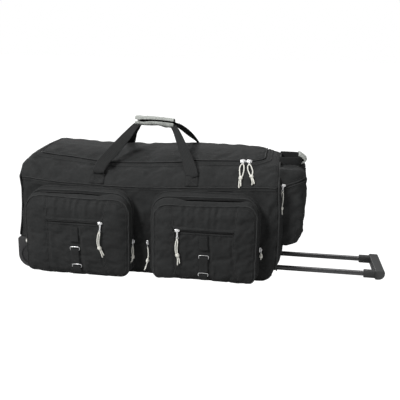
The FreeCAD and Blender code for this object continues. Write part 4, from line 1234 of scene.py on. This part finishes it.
hinge_x = spaced(-LID_X + 26, LID_X - 26, 6)
build("lid_hinge_piping", [tube(skin(hinge_x, HINGE, 0.6), 2.4, 8)], "pipe", "bag")
build("lid_hinge_stitches", [sew(*on_shell(hinge_x, HINGE + 0.16, 0.2))], "thread", "bag")

# ------------------------------------------------------------------ carry handles

PLANES = {"front": ((-141.0, 308.0), (-12.0, 436.0)), "rear": ((147.0, 330.0), (12.0, 436.0))}
# centre lines of the legs as (x, z): from the sewn foot up into the wrap
LEGS = {
    "front": [[(-140, 300), (-140, 312), (-130, 334), (-112, 356), (-94, 380), (-76, 405), (-64, 424),
               (-52, 437), (-30, 441)],
              [(138, 300), (137, 312), (125, 332), (111, 354), (90, 387), (75, 410), (63, 426), (48, 435),
               (26, 437)]],
    "rear": [[(-140, 324), (-138, 331), (-126, 342), (-114, 356), (-97, 384), (-80, 408), (-65, 428),
              (-48, 438), (-26, 442)],
             [(140, 324), (136, 336), (123, 358), (105, 386), (86, 413), (66, 431), (46, 439), (26, 440)]],
}
WRAP_Z, WRAP_SLOPE = 441.0, -0.052


def handle(which):
    """One carry strap: both legs and the stretch inside the wrap, in the plane of its feet and wrap."""
    (y0, z0), (y1, z1) = PLANES[which]
    rear = which == "rear"
    left, right = LEGS[which]
    line = resample(smooth_path(np.array(left + right[::-1], float), 3), 5.0)
    x, z = line.T
    y = np.clip(y0 + (z - z0) * (y1 - y0) / (z1 - z0), min(y0, y1), max(y0, y1))
    path = np.stack([x, np.where(np.abs(x) < 58, y * 0.6, y), z], 1)
    tangent = unit(np.gradient(path, axis=0))
    slope = unit(np.array([0.0, z1 - z0, y0 - y1])) * (1 if rear else -1)
    across = unit(np.cross(slope[None], tangent))
    d = run_length(path)
    left_over = d[-1] - d
    twist = 0.22 * np.sin(d / d[-1] * 9.0) + (0.3 if rear else 0.12) * np.exp(-left_over / 40.0)
    across = unit(across + slope[None] * twist[:, None])
    if rear:
        turn = 0.95 * np.exp(-((left_over - 62) / 52.0) ** 2) + 0.6 * np.exp(-((d - 120) / 40.0) ** 2)
        turn = turn[:, None]
        edge_on = np.array([0.1, -0.95, 0.2])
        away = edge_on * np.sign(across @ edge_on)[:, None]
        across = unit(across * (1 - turn) + away * turn)
        across = unit(across - tangent * np.sum(across * tangent, 1, keepdims=True))
    width = np.where(x < 0, np.interp(-x, [45, 62, 80, 110], [22, 25, 33, 38]),
                     np.interp(x, [45, 62, 90, 125], [18, 20, 28, 38]))
    strap = ribbon(path, across, width, 2.4, 11)
    ob = build(which + "_handle_webbing", [strap], "web", which + "_handle")
    subdivide(ob)
    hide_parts(which + "_carry_strap")
    normal = unit(np.cross(across, tangent))
    rows = []
    for side in (-0.41, 0.41):
        for face in (1.0, -1.0):
            edge_line = path + across * (width * side)[:, None] + normal * (face * 1.25)
            rows += [stitches(edge_line[leg], normal[leg] * face, 4.0, 2.8) for leg in (x < -60, x > 60)]
    build(which + "_handle_stitches", rows, "thread", which + "_handle")


handle("front")
handle("rear")


def anchor(name, x0, s_lo, s_hi):
    """A sewn webbing foot: patch, folded top edge, and box and cross stitching."""
    gx, gs = np.meshgrid(x0 + np.linspace(-19.0, 19.0, 9), np.linspace(s_lo, s_hi, 9), indexing="ij")
    spots, normals = SKINS["shell"].near(skin(gx.ravel(), gs.ravel(), 3.0), 2.0)
    points, normals = spots.reshape(9, 9, 3), normals.reshape(9, 9, 3)
    edge_drop = np.ones(points.shape[:2])
    edge_drop[[0, -1]] = 0.2
    edge_drop[:, [0, -1]] = 0.2
    points = points - normals * (1.8 * (1 - edge_drop))[..., None]
    uv = np.stack(np.meshgrid(np.linspace(0, 0.038, 9), np.linspace(0, 0.04, 9), indexing="ij"), -1)
    fold_at = points[:, -1] if s_hi > s_lo else points[:, 0]
    roll = tube(fold_at + normals[:, -1] * 1.5, 2.3, 8)
    ob = build(name, [sheet(points, uv), roll], "web", "bag")
    thicken(ob, 1.0)
    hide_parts("carry_anchors")
    lo, hi = 1, 7
    box = [(lo, lo), (hi, lo), (hi, hi), (lo, hi)]
    runs = list(zip(box, box[1:] + box[:1])) + [((lo, lo), (hi, hi)), ((hi, lo), (lo, hi))]
    rows = []
    for start, end in runs:
        t = np.linspace(0, 1, 9)[:, None]
        line, _ = SKINS["shell"].near(points[start] + (points[end] - points[start]) * t, 2.6)
        rows.append(stitches(line, normals[4, 4], 3.4, 2.4))
    build(name + "_stitches", rows, "thread", "bag")


for tag, x0 in (("left", -140.0), ("right", 138.0)):
    anchor("front_anchor_" + tag, x0, SEAM + 0.06, SEAM + 0.74)
    anchor("rear_anchor_" + tag, x0, BACK - 0.08, BACK - 0.76)


def spiral(count, y_half, z_half, start, sweep, gap):
    """Wrap section (y, z): from the front slit down, round the back and over the top to the slit again."""
    a = np.linspace(start, start + sweep, count)
    grow = gap * (a - a[0]) / (a[-1] - a[0])
    y = -(y_half + grow) * np.sign(np.cos(a)) * np.abs(np.cos(a)) ** 0.72
    z = -(z_half + grow) * np.sign(np.sin(a)) * np.abs(np.sin(a)) ** 0.72
    return y, z


def wrap_piece():
    rows = []
    xs = np.concatenate([[-62.5], np.linspace(-61, 56, 41), [57.5]])
    for x in xs:
        end_pinch = 1.0 - 0.05 * (abs(x) / 62) ** 4
        lift = 2.2 * math.cos(x / 62 * math.pi / 2)
        y, z = spiral(44, 15.5 * end_pinch, 12.5 * end_pinch, 0.02 - 0.14 * math.sin(x / 34 + 0.9), 5.98, 1.6)
        sag = 1.2 * np.sin(x * 0.09 + 1.0) * np.where(z < 0, 1, 0.2)
        z_mid = WRAP_Z + WRAP_SLOPE * x
        z = np.where(z < 0, z * (1 - 0.22 * math.exp(-((x - 2) / 15) ** 2)), z)
        rows.append(np.stack([np.full(44, x), y - 0.6 * lift, z_mid + z + sag * 0.5 + 0.3 * lift], 1))
    points = np.array(rows)
    noise = wave_noise(points.reshape(-1, 3), 26.0, 51, 2).reshape(points.shape[:2])
    centre = np.stack([points[..., 0], 0 * points[..., 0], np.full(points.shape[:2], WRAP_Z)], -1)
    points = points + unit(points - centre) * (noise * 0.9)[..., None]
    uv = spread_uv(xs[:, None], run_length(points[20])[None])
    ob = build("handle_wrap", [sheet(points, uv)], "wrap", "rear_handle")
    thicken(ob, 2.6)
    subdivide(ob)
    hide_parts("carry_wrap")
    points, out = points[2:-2], unit(points - centre)[2:-2]
    build("handle_wrap_stitches", [stitches(points[:, k] + out[:, k] * 1.5, out[:, k], 3.6, 2.5, 0.42)
                                   for k in (3, 40)], "wrap", "rear_handle")


wrap_piece()

# ------------------------------------------------------------------ end grab handle

grab = [(380, -56), (404, -56), (424, -55), (438, -51), (446, -40), (449, -20), (449.5, 0)]
grab += [(x, -y) for x, y in grab[-2::-1]]
grab_line = resample(smooth_path(grab, 2), 4.0)
grab_path = np.column_stack([grab_line, np.full(len(grab_line), 347.0)])
strap = build("end_handle_webbing", [ribbon(grab_path, (0, 0, 1), 25.0, 2.4, 9)], "web", "end_handle")
subdivide(strap)
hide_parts("end_handle_strap")
rows = []
for rise in (-10.0, 10.0):
    for side in (-1, 1):
        line = grab_path[grab_path[:, 1] * side > 52] + np.array([0, side * 1.3, rise])
        rows.append(stitches(line, (0, side, 0), 4.0, 2.8))
build("end_handle_stitches", rows, "thread", "end_handle")


def grab_wrap():
    """Folded pad round the end handle, a chevron in section (x, z)."""
    outline = smooth_path([(437, 335), (439, 331.5), (449, 338), (459.5, 345), (461, 348), (459, 352),
                           (448, 360), (439.5, 365), (436.5, 362)], 2)
    rows = []
    ys = np.linspace(-43, 41, 27)
    for y in ys:
        bow = 2.2 * (y / 39) ** 2
        rows.append(np.stack([outline[:, 0] - bow, np.full(len(outline), y), outline[:, 1]], 1))
    points = np.array(rows)
    points[..., 0] += wave_noise(points.reshape(-1, 3), 22.0, 61, 2).reshape(points.shape[:2]) * 0.8
    uv = spread_uv(ys[:, None], run_length(outline)[None])
    ob = build("end_handle_pad", [sheet(points, uv)], "wrap", "end_handle", (435, 0, 348))
    thicken(ob, 4.2, -1.0)
    subdivide(ob)
    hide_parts("end_handle_wrap")


grab_wrap()

# ------------------------------------------------------------------ pocket zips, seams and straps


def arch_part(ring, low):
    """The run of a closed outline that stands above a level, in order from its left foot to its right one."""
    keep = ring[:, 2] > low
    start = int(np.argmax(keep & ~np.roll(keep, 1)))
    ring = np.roll(ring, -start, 0)
    ring = ring[ring[:, 2] > low]
    return ring if ring[0, 0] < ring[-1, 0] else ring[::-1]


def dense(ring, step=5.0):
    """A closed outline in even steps."""
    return resample(np.concatenate([ring, ring[:1]]), step)[:-1]


def pocket_zip(side, pk):
    """Both halves of the U-shaped zip, and a flat strip along the pocket's foot."""
    halves = {
        "bag": (0.49, -186.7, -5.6, [(0.46, -184.6, -3.4), (0.47, -186.2, -5.8), (0.49, -187.2, -6.8)]),
        "flap": (0.50, -188.5, -5.8, [(0.50, -187.6, -6.8), (0.51, -188.6, -6.0), (0.53, -190.4, -4.2)])}
    for half, (depth, y, grow, levels) in halves.items():
        coil = tube(dense(rim_ring(pk, depth, y, grow)), 1.25, 6, closed=True)
        build(side + "_zip_tape_" + half, [ring_wall(pk, levels), coil], "coil",
              "bag" if half == "bag" else side + "_flap")
    x = spaced(pk["back"][0] + 26, pk["back"][1] - 26, 6)
    rows = [np.stack([x, np.full(len(x), y), np.full(len(x), 14.4)], 1)
            for y in (-181, -184, -187, -190, -193)]
    strip = np.array(rows)
    hinge = build(side + "_foot_strip", [sheet(strip, strip[..., :2] * MM)], "tape", None, (0, -187, 60))
    thicken(hinge, 0.8)
    bpy.context.view_layer.update()
    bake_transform(hinge)


def pocket_sewing(side, pk):
    """Piping round the gusset and the face, with the stitches beside it and down the face's seams."""
    near, front = SKINS[side].near, SKINS[side].front
    for name, ring, radius in (("_gusset_piping", (0.44, -184.2, 0.9), 1.8),
                               ("_gusset_foot_piping", (0.02, -161.8, 1.6), 1.6)):
        arch = resample(arch_part(rim_ring(pk, *ring), 22), 4.0)
        build(side + name, [tube(arch, radius, 8)], "pipe", "bag")
    lip = dense(rim_ring(pk, 0.55, -191.0, -0.6), 4.0)
    build(side + "_flap_lip", [tube(lip, 1.7, 8, closed=True)], "pipe", side + "_flap")
    rim, _ = near(dense(rim_ring(pk, 0.93, -210.6, 1.2), 4.0), 0.5)
    build(side + "_face_piping", [tube(rim, 1.5, 8, closed=True)], "pipe", side + "_flap")
    rows = []
    for depth, y, grow in ((0.36, -179.5, 2.6), (0.14, -168.0, 2.4)):
        arch = resample(arch_part(rim_ring(pk, depth, y, grow), 24), 4.0)
        x, z = arch[:, 0], arch[:, 2]
        rows.append(sew(arch, unit(np.stack([x - x.mean(), 0 * x, (z - 120) * 1.4], 1))))
    build(side + "_gusset_stitches", rows, "thread", "bag")
    rows, cords = [], []
    for line in pk["seams"]:
        x, z = resample(line, 4.0).T
        # the seam cords take the lighter piping cloth, a painted highlight along the seams
        cords.append(tube(front(x, z, 0.3)[0], 1.15, 6))
        rows += [sew(*front(x + shift, z, 0.2)) for shift in (-4.0, 4.0)]
    x, z = resample(pk["pleat"], 4.0).T
    rows.append(sew(*front(x - 3.0, z, 0.2)))
    rows.append(sew(*near(dense(rim_ring(pk, 1.0, -213.0, -6.5), 4.0), 0.3)))
    build(side + "_face_stitches", rows, "thread", side + "_flap")
    build(side + "_face_seams", cords, "pipe", side + "_flap")


def face_zip(side):
    """Short zip across the face, with the cloth above folded over it."""
    lo, hi = spot_box(side + "_face_zip")
    x = spaced(lo[0], hi[0], 5)
    mid = (lo[2] + hi[2]) / 2

    def beside(rise, off):
        return SKINS[side].front(x, np.full(len(x), mid + rise), off)

    def strip(levels):
        rows = np.array([beside(rise, off)[0] for rise, off in levels])
        return sheet(rows, rows[..., [0, 2]] * MM)

    tape = strip(((6.0, 0.3), (4.0, 0.6), (0.0, 0.5), (-4.0, 0.6), (-6.0, 0.3)))
    ob = build(side + "_face_zip_tape", [tape, tube(beside(0.0, 1.0)[0], 1.7, 6)], "coil", side + "_flap")
    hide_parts(side + "_face_zip")
    welts = {"upper": ((11.0, 0.4), (9.0, 1.3), (5.0, 2.1), (3.0, 2.3), (2.2, 1.6), (2.4, 0.7)),
             "lower": ((-4.4, 0.7), (-4.2, 1.3), (-5.4, 1.6), (-8.0, 1.2), (-9.6, 0.4))}
    for label, levels in welts.items():
        welt = build(side + "_face_welt_" + label, [strip(levels)], "body", side + "_flap")
        thicken(welt, 0.8)
        subdivide(welt)
    build(side + "_face_zip_stitches", [sew(*beside(rise, 1.7)) for rise in (8.0, -7.0)], "thread",
          side + "_flap")


# the strap's three slack stretches between stitching and rings: heights, how far each stands out, and widths
STRETCHES = (
    ((158, 154, 146, 132, 122, 117, 114), (1.4, 2.6, 2.8, 2.8, 4.2, 5.4, 3.4), (26, 26, 26, 26, 27, 29, 30)),
    ((95, 91, 84, 74, 60, 52, 49), (3.6, 5.2, 5.0, 3.4, 3.0, 4.6, 2.8), (26, 27, 28, 26, 26, 27, 28)),
    ((42, 38, 31, 23, 18.5), (3.6, 5.0, 4.6, 3.0, 2.2), (26, 26.5, 26, 26, 26)),
)


def wire_loop(centre, half, tall, r):
    """Rounded rectangle of wire: half its width, half its height, corner radius."""
    bend = r * 0.3
    quarter = [(half, r - tall), (half - bend, bend - tall), (half - r, -tall)]
    right = [(u, -v) for u, v in quarter[::-1]] + quarter
    loop = [(-u, v) for u, v in right[2::-1]] + right + [(-u, v) for u, v in right[:2:-1]]
    return np.array([(centre[0] + u, centre[1] - 1.0 - 0.8 * (v > 0), centre[2] + v) for u, v in loop])


def face_strap(side):
    """Strap down the middle of the face, threaded through two wire rings."""
    front = SKINS[side].front
    lo, hi = spot_box(side + "_pocket_strap")
    mid = (lo[0] + hi[0]) / 2
    lean = 5.0 if side == "left" else -3.0

    def track(z):
        return mid + (lean * ease((60 - z) / 40) + 0.02 * (140 - z))

    sections = []
    for heights, offs, widths in STRETCHES:
        z = np.array(heights, float)
        spots = front(track(z), z, 0.0)[0] + np.array([0, -1.0, 0]) * np.array(offs)[:, None]
        at, knots = np.linspace(0, len(z) - 1, 19), np.arange(len(z))
        sections.append(ribbon(along(spots, knots, at), (1, 0, 0), np.interp(at, knots, widths), 2.2, 9))
    z = spaced(157, 17, 5)
    # the strap's base layer takes the darker under webbing: painted shade in the gaps between the strap's
    # stretches
    base = build(side + "_strap_base", [ribbon(front(track(z), z, 0.9)[0], (1, 0, 0), 25.0, 1.4, 7)], "under",
                 side + "_flap")
    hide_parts(side + "_pocket_strap")
    strap = build(side + "_strap_webbing", sections, "web", side + "_flap")
    subdivide(strap)
    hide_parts(side + "_pocket_strap")
    across = mid + np.linspace(-10, 10, 6)
    rows = [stitches(front(across, np.full(6, z), 3.3)[0], (0, -1, 0), 3.4, 2.4)
            for z in (153.0, 147.0, 44.0, 51.0)]
    build(side + "_strap_stitches", rows, "thread", side + "_flap")
    wires = []
    for top, low in ((99.5, 89.0), (46.5, 37.0)):
        (centre,), _ = front([track(low)], [(top + low) / 2], 1.6)
        wires.append(tube(wire_loop(centre, 13.9, (top - low) / 2, 3.0), 1.05, 8, (0, 1, 0), closed=True))
    rings = build(side + "_rings", wires, "chrome", side + "_flap")
    subdivide(rings)
    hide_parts(side + "_strap_rings")


for side, pk in POCKETS.items():
    pocket_zip(side, pk)
    pocket_sewing(side, pk)
    face_zip(side)
    face_strap(side)

# ------------------------------------------------------------------ end pocket zip

plan = pouch_plan()


def zip_run(rise, deep=1.0, wide=1.0):
    """A line that follows the end pocket's zip, rise mm above it."""
    x = EP_IN + (plan[:, 0] - EP_IN) * deep
    return np.stack([x, plan[:, 1] * wide, zip_level(x) + rise], 1)


zip_rows = np.array([zip_run(*row) for row in ((-1.5, 0.968), (1.0, 0.962), (3.5, 0.962), (6.5, 0.968))])
zip_uv = spread_uv(run_length(plan)[None], np.array([0, 2, 4, 7.0])[:, None])
tape = build("end_pocket_zip_tape", [sheet(zip_rows, zip_uv), tube(zip_run(2.4, 0.968, 1.002), 1.5, 6)],
             "coil", "bag")
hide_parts("end_pocket_zip")
build("end_pocket_stitches", [sew(*SKINS["bucket"].near(zip_run(-7.0), 0.3)),
                              sew(*SKINS["hood"].near(zip_run(13.0), 0.3))], "thread", "bag")
for which, rise in (("bucket", -2.0), ("hood", 6.0)):
    spots, _ = SKINS[which].near(zip_run(rise), 0.5)
    build("end_pocket_lip_" + which, [tube(spots, 1.7, 8)], "pipe", "bag")

# ------------------------------------------------------------------ sliders and pulls


def slider_geo(at, out, run, size):
    """Zip slider: a flattened body along run and a bridge over it, on the side that out points to."""
    u = np.array([-6.0, -5.2, -3.0, 0.0, 2.5, 4.6, 5.8]) * size
    radius = np.array([2.4, 3.7, 4.2, 4.0, 3.4, 2.9, 1.8]) * size
    arch = np.array([(-4.2, 1.4), (-3.9, 3.2), (-2.0, 4.3), (1.6, 4.3), (3.6, 3.2), (4.0, 1.4)]) * size
    return [tube(at + run * u[:, None], radius, 12, out, flat=0.5),
            tube(at + run * arch[:, :1] + out * arch[:, 1:], 0.95 * size, 8, out)]


def knot_geo(centre, down, out):
    """A small barrel knot: the cord wound round itself."""
    size = 1.15
    across = np.cross(down, out)
    a = np.linspace(0, 2 * math.pi * 2.6, 60)
    t = a / a[-1] - 0.5
    r = (2.6 + 1.0 * np.cos(t * math.pi)) * size
    path = (centre + down * (t * 6.6 * size)[:, None] + across * (np.cos(a) * r)[:, None]
            + out * (np.sin(a) * r * 0.8)[:, None])
    core = centre + down * (np.array([-3.5, 0, 3.5]) * size)[:, None]
    return [tube(path, 1.7 * size, 8), tube(core, 2.4 * size, 8)]


def strand(points):
    return tube(resample(smooth_path(points, 2), 2.2), 1.7, 8)


def pull(tag, at, out, run, way, tab=13.0, knot_at=0.62, loop=3.2, spread=2.0, size=1.2):
    """Slider, metal tab and ring, cord loop, knot and two tails; way is the centre line from the slider.

    tab is the tab's length, knot_at the knot's place as a share of the way, loop and spread how far the loop
    and the tails stand open, and size the slider's scale."""
    out, run = unit(np.array(out, float)), unit(np.array(run, float))
    slider = build(tag + "_slider_metal", slider_geo(at, out, run, size), "chrome", tag + "_slider_body")
    subdivide(slider)
    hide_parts(tag + "_slider")
    line = resample(smooth_path(way, 3), 1.5)
    d = run_length(line)
    tangent = unit(np.gradient(line, axis=0))

    def place(where):
        return along(line, d, where)

    def facing(where):
        return unit(along(tangent, d, where))

    def side(where):
        return unit(np.cross(facing(where), np.broadcast_to(out, np.shape(where) + (3,))))

    where = np.linspace(0.0, tab, 7)
    plate = ribbon(place(where), side(where), np.array([3.4, 5.4, 6.0, 5.4, 4.6, 5.2, 3.6]), 1.5, 7)
    a = np.linspace(0, 2 * math.pi, 16, endpoint=False)[:, None]
    eye = tab + 2.6
    ring = place(eye) + (facing(eye) * np.cos(a) + side(eye) * np.sin(a)) * 3.0
    metal_part = build(tag + "_pull_tab", [plate, tube(ring, 0.85, 6, out, closed=True)], "chrome",
                       tag + "_pull_body")
    subdivide(metal_part)
    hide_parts(tag + "_pull")
    knot = d[-1] * knot_at
    t = np.linspace(0, 1, 16)
    where = np.linspace(eye + 0.5, knot, 16)
    open_by = (1.75 + loop * np.sin(math.pi * t) ** 0.8) * np.where(t < 0.08, 0.2, 1)
    shift = side(where) * open_by[:, None]
    geos = [strand(np.concatenate([(place(where) + shift)[::-1], place(where) - shift]))]
    geos += knot_geo(place(knot + 3.0), facing(knot), out)
    t = np.linspace(0, 1, 8)
    for sign, short in ((1, 0.0), (-1, 5.0)):
        where = np.linspace(knot + 4.0, d[-1] - short, 8)
        geos.append(strand(place(where) + side(where) * (sign * (1.6 + spread * t))[:, None]))
    cord = build(tag + "_pull_cord", geos, "cord", tag + "_pull_body")
    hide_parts(tag + "_pull")


# the two sliders of the top zip meet over the yoke: start, run, and the way of the pull in (x, z)
MAIN = (("main_left", 278.0, 1, (277, 279, 278, 273, 275, 277), (328, 319, 309, 299, 290, 281)),
        ("main_right", 295.0, -1, (298, 302, 306, 310, 313, 312), (328, 320, 311, 303, 295, 288)))
for tag, x0, run, xs, zs in MAIN:
    (at,), _ = SKINS["shell"].near(lid_xyz(np.array([[x0, -2.0]]), 3.0), 3.2)
    spots, _ = SKINS["shell"].front(np.array(xs, float), np.array(zs, float), 4.2)
    way = np.concatenate([[at + np.array([0, -2.0, 2.6])], spots])
    pull(tag, at, (0.05, -0.62, 0.78), (run, 0, 0), way, 10.0, 0.66, 4.4, 1.2, 1.5)

# the face zips: slider, and how the cord sways on its way down
FACE = (("left_face", -111.0, 173.0, (0, -1, -4, -5, 0, 6)),
        ("right_face", 113.0, 167.0, (0, 1, -1, 0, 5, 4)))
for tag, x0, height, sway in FACE:
    front = SKINS[tag.split("_")[0]].front
    (at,), _ = front([x0], [height], 3.6)
    zs = height - 4 - np.array([0.0, 0.2, 0.42, 0.62, 0.8, 1.0]) * 96.0
    spots, _ = front(x0 + np.array(sway, float), zs, 5.0)
    pull(tag, at, (0, -1, 0), (1, 0, 0), np.concatenate([[at + np.array([0, -3.4, -1.0])], spots]), 18.0,
         0.68, 1.0, 1.4)

# the U-shaped zips: which way the slider faces, where the cord ends, and its sway
ARCH = (("left_inner", 1, 40, (-6, -8, -6, -16)), ("left_outer", -1, 82, (0, -1, 0, 1)),
        ("right_inner", -1, 26, (4, 9, 5, -4)), ("right_outer", 1, 84, (-3, -3, -3, -2)))
for tag, face, end, sway in ARCH:
    at = sum(spot_box(tag + "_slider")) / 2
    at[0] += face * 0.4
    x0 = sum(spot_box(tag + "_pull"))[0] / 2
    zs = 109 - np.array([0.0, 0.35, 0.7, 1.0]) * (109 - end)
    way = [(at[0] + face * 4.0, at[1], at[2] + 0.5)]
    way += [(x0 + face * 1.0 + w, -182.5, z) for w, z in zip(sway, zs)]
    shape = (7.0, 0.55, 0.0, 0.6) if end > 60 else (12.0, 0.6, 3.0, 0.6)
    pull(tag, at, (face, -0.25, 0), (0, 0, 1), way, *shape)

at = sum(spot_box("end_pocket_slider")) / 2 + np.array([0, -2.0, 0.0])
way = [at + np.array([-1, -3.0, -1.0]), (395, -139.5, 274), (395, -139.0, 252), (394, -139.0, 232),
       (395, -139.0, 216), (395, -139.0, 202)]
pull("end_pocket", at, (0, -1, 0), (1, 0, 0.3), way, 11.0, 0.7, 1.4, 0.8)

# ------------------------------------------------------------------ camera, light, floor

LENS, AMBIENT = 54.27, 0.18
target, distance = np.array([141.0, 0.0, 202.5]) * MM, 1.880
az, el, roll = (math.radians(v) for v in (8.4, 13.5, 1.2))
back = np.array([math.sin(az) * math.cos(el), -math.cos(az) * math.cos(el), math.sin(el)])
cam_data = bpy.data.cameras.new("camera")
cam_data.lens = LENS
cam_data.sensor_width = 36.0
cam = bpy.data.objects.new("camera", cam_data)
bpy.context.scene.collection.objects.link(cam)
cam.location = Vector(target + back * distance)
look = Vector(-back).to_track_quat("-Z", "Y").to_matrix().to_4x4()
cam.matrix_world = Matrix.Translation(cam.location) @ look @ Matrix.Rotation(roll, 4, "Z")
bpy.context.scene.camera = cam

world = bpy.data.worlds.new("studio")
bpy.context.scene.world = world
world.use_nodes = True
wt = world.node_tree
wt.nodes["Background"].inputs[0].default_value = (1, 1, 1, 1)
path_in, lit = wt.nodes.new("ShaderNodeLightPath"), wt.nodes.new("ShaderNodeMapRange")
lit.inputs["To Min"].default_value, lit.inputs["To Max"].default_value = AMBIENT, 1.0
wt.links.new(path_in.outputs["Is Camera Ray"], lit.inputs["Value"])
wt.links.new(lit.outputs[0], wt.nodes["Background"].inputs[1])


def area(name, spot, aim, size, power):
    data = bpy.data.lights.new(name, "AREA")
    data.shape = "RECTANGLE"
    data.size, data.size_y = size
    data.energy = power
    ob = bpy.data.objects.new(name, data)
    bpy.context.scene.collection.objects.link(ob)
    ob.location = spot
    ob.rotation_mode = "QUATERNION"
    ob.rotation_quaternion = (Vector(aim) - Vector(spot)).to_track_quat("-Z", "Y")


area("key", (-1.5, -1.9, 2.3), (0.05, 0.0, 0.2), (0.9, 0.9), 96)
area("top_soft", (0.5, 0.6, 2.6), (0.1, 0.0, 0.2), (2.0, 1.6), 24)
area("back_soft", (-0.9, 2.4, 1.9), (0.0, 0.0, 0.2), (1.4, 1.2), 34)
area("right_soft", (2.2, -1.8, 1.1), (0.3, 0.0, 0.2), (1.0, 1.2), 10)

# pale floor that takes soft shadows, and shows as plain white to the camera
FLOOR_HALF, FLOOR_Z, SEEN_SHARE = 90, -0.0005, 0.93
fm = Tree("floor_white")
tone = fm.mix(fm.add("ShaderNodeTexNoise", Scale=3.0), (0.50, 0.50, 0.50), (0.54, 0.54, 0.54))
fm.link(tone, 2, fm.bsdf, "Base Color")
fm.bsdf.inputs["Roughness"].default_value = 0.9
blend_in = fm.add("ShaderNodeMixShader")
fm.link(fm.math("MULTIPLY", fm.add("ShaderNodeLightPath"), SEEN_SHARE), 0, blend_in, 0)
fm.link(fm.bsdf, 0, blend_in, 1)
fm.link(fm.add("ShaderNodeEmission", Strength=1.25), 0, blend_in, 2)
fm.link(blend_in, 0, fm.tree.nodes["Material Output"], 0)
me = bpy.data.meshes.new("floor")
corners = [(-1, -1), (1, -1), (1, 1), (-1, 1)]
me.from_pydata([(x * FLOOR_HALF, y * FLOOR_HALF, FLOOR_Z) for x, y in corners], [], [(0, 1, 2, 3)])
me.materials.append(fm.mat)
floor = bpy.data.objects.new("floor", me)
bpy.context.scene.collection.objects.link(floor)

bpy.context.scene.view_settings.view_transform = "Standard"

# carried-over CAD nodes
CARRIED = {
    "wheel_chassis": "chassis", "front_wheel": "rubber", "rear_wheel": "rubber", "axles": "steel",
    "centre_runner": "chassis", "side_runners": "chassis", "rail_tubes": "rail", "rail_bushes": "nylon",
    "pull_tubes": "tube", "tube_plugs": "nylon", "trolley_grip": "grip", "grip_screws": "steel",
    "base_board": "board",
}
for name, key in CARRIED.items():
    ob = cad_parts[name]
    ob.data.materials.clear()
    ob.data.materials.append(M[key])
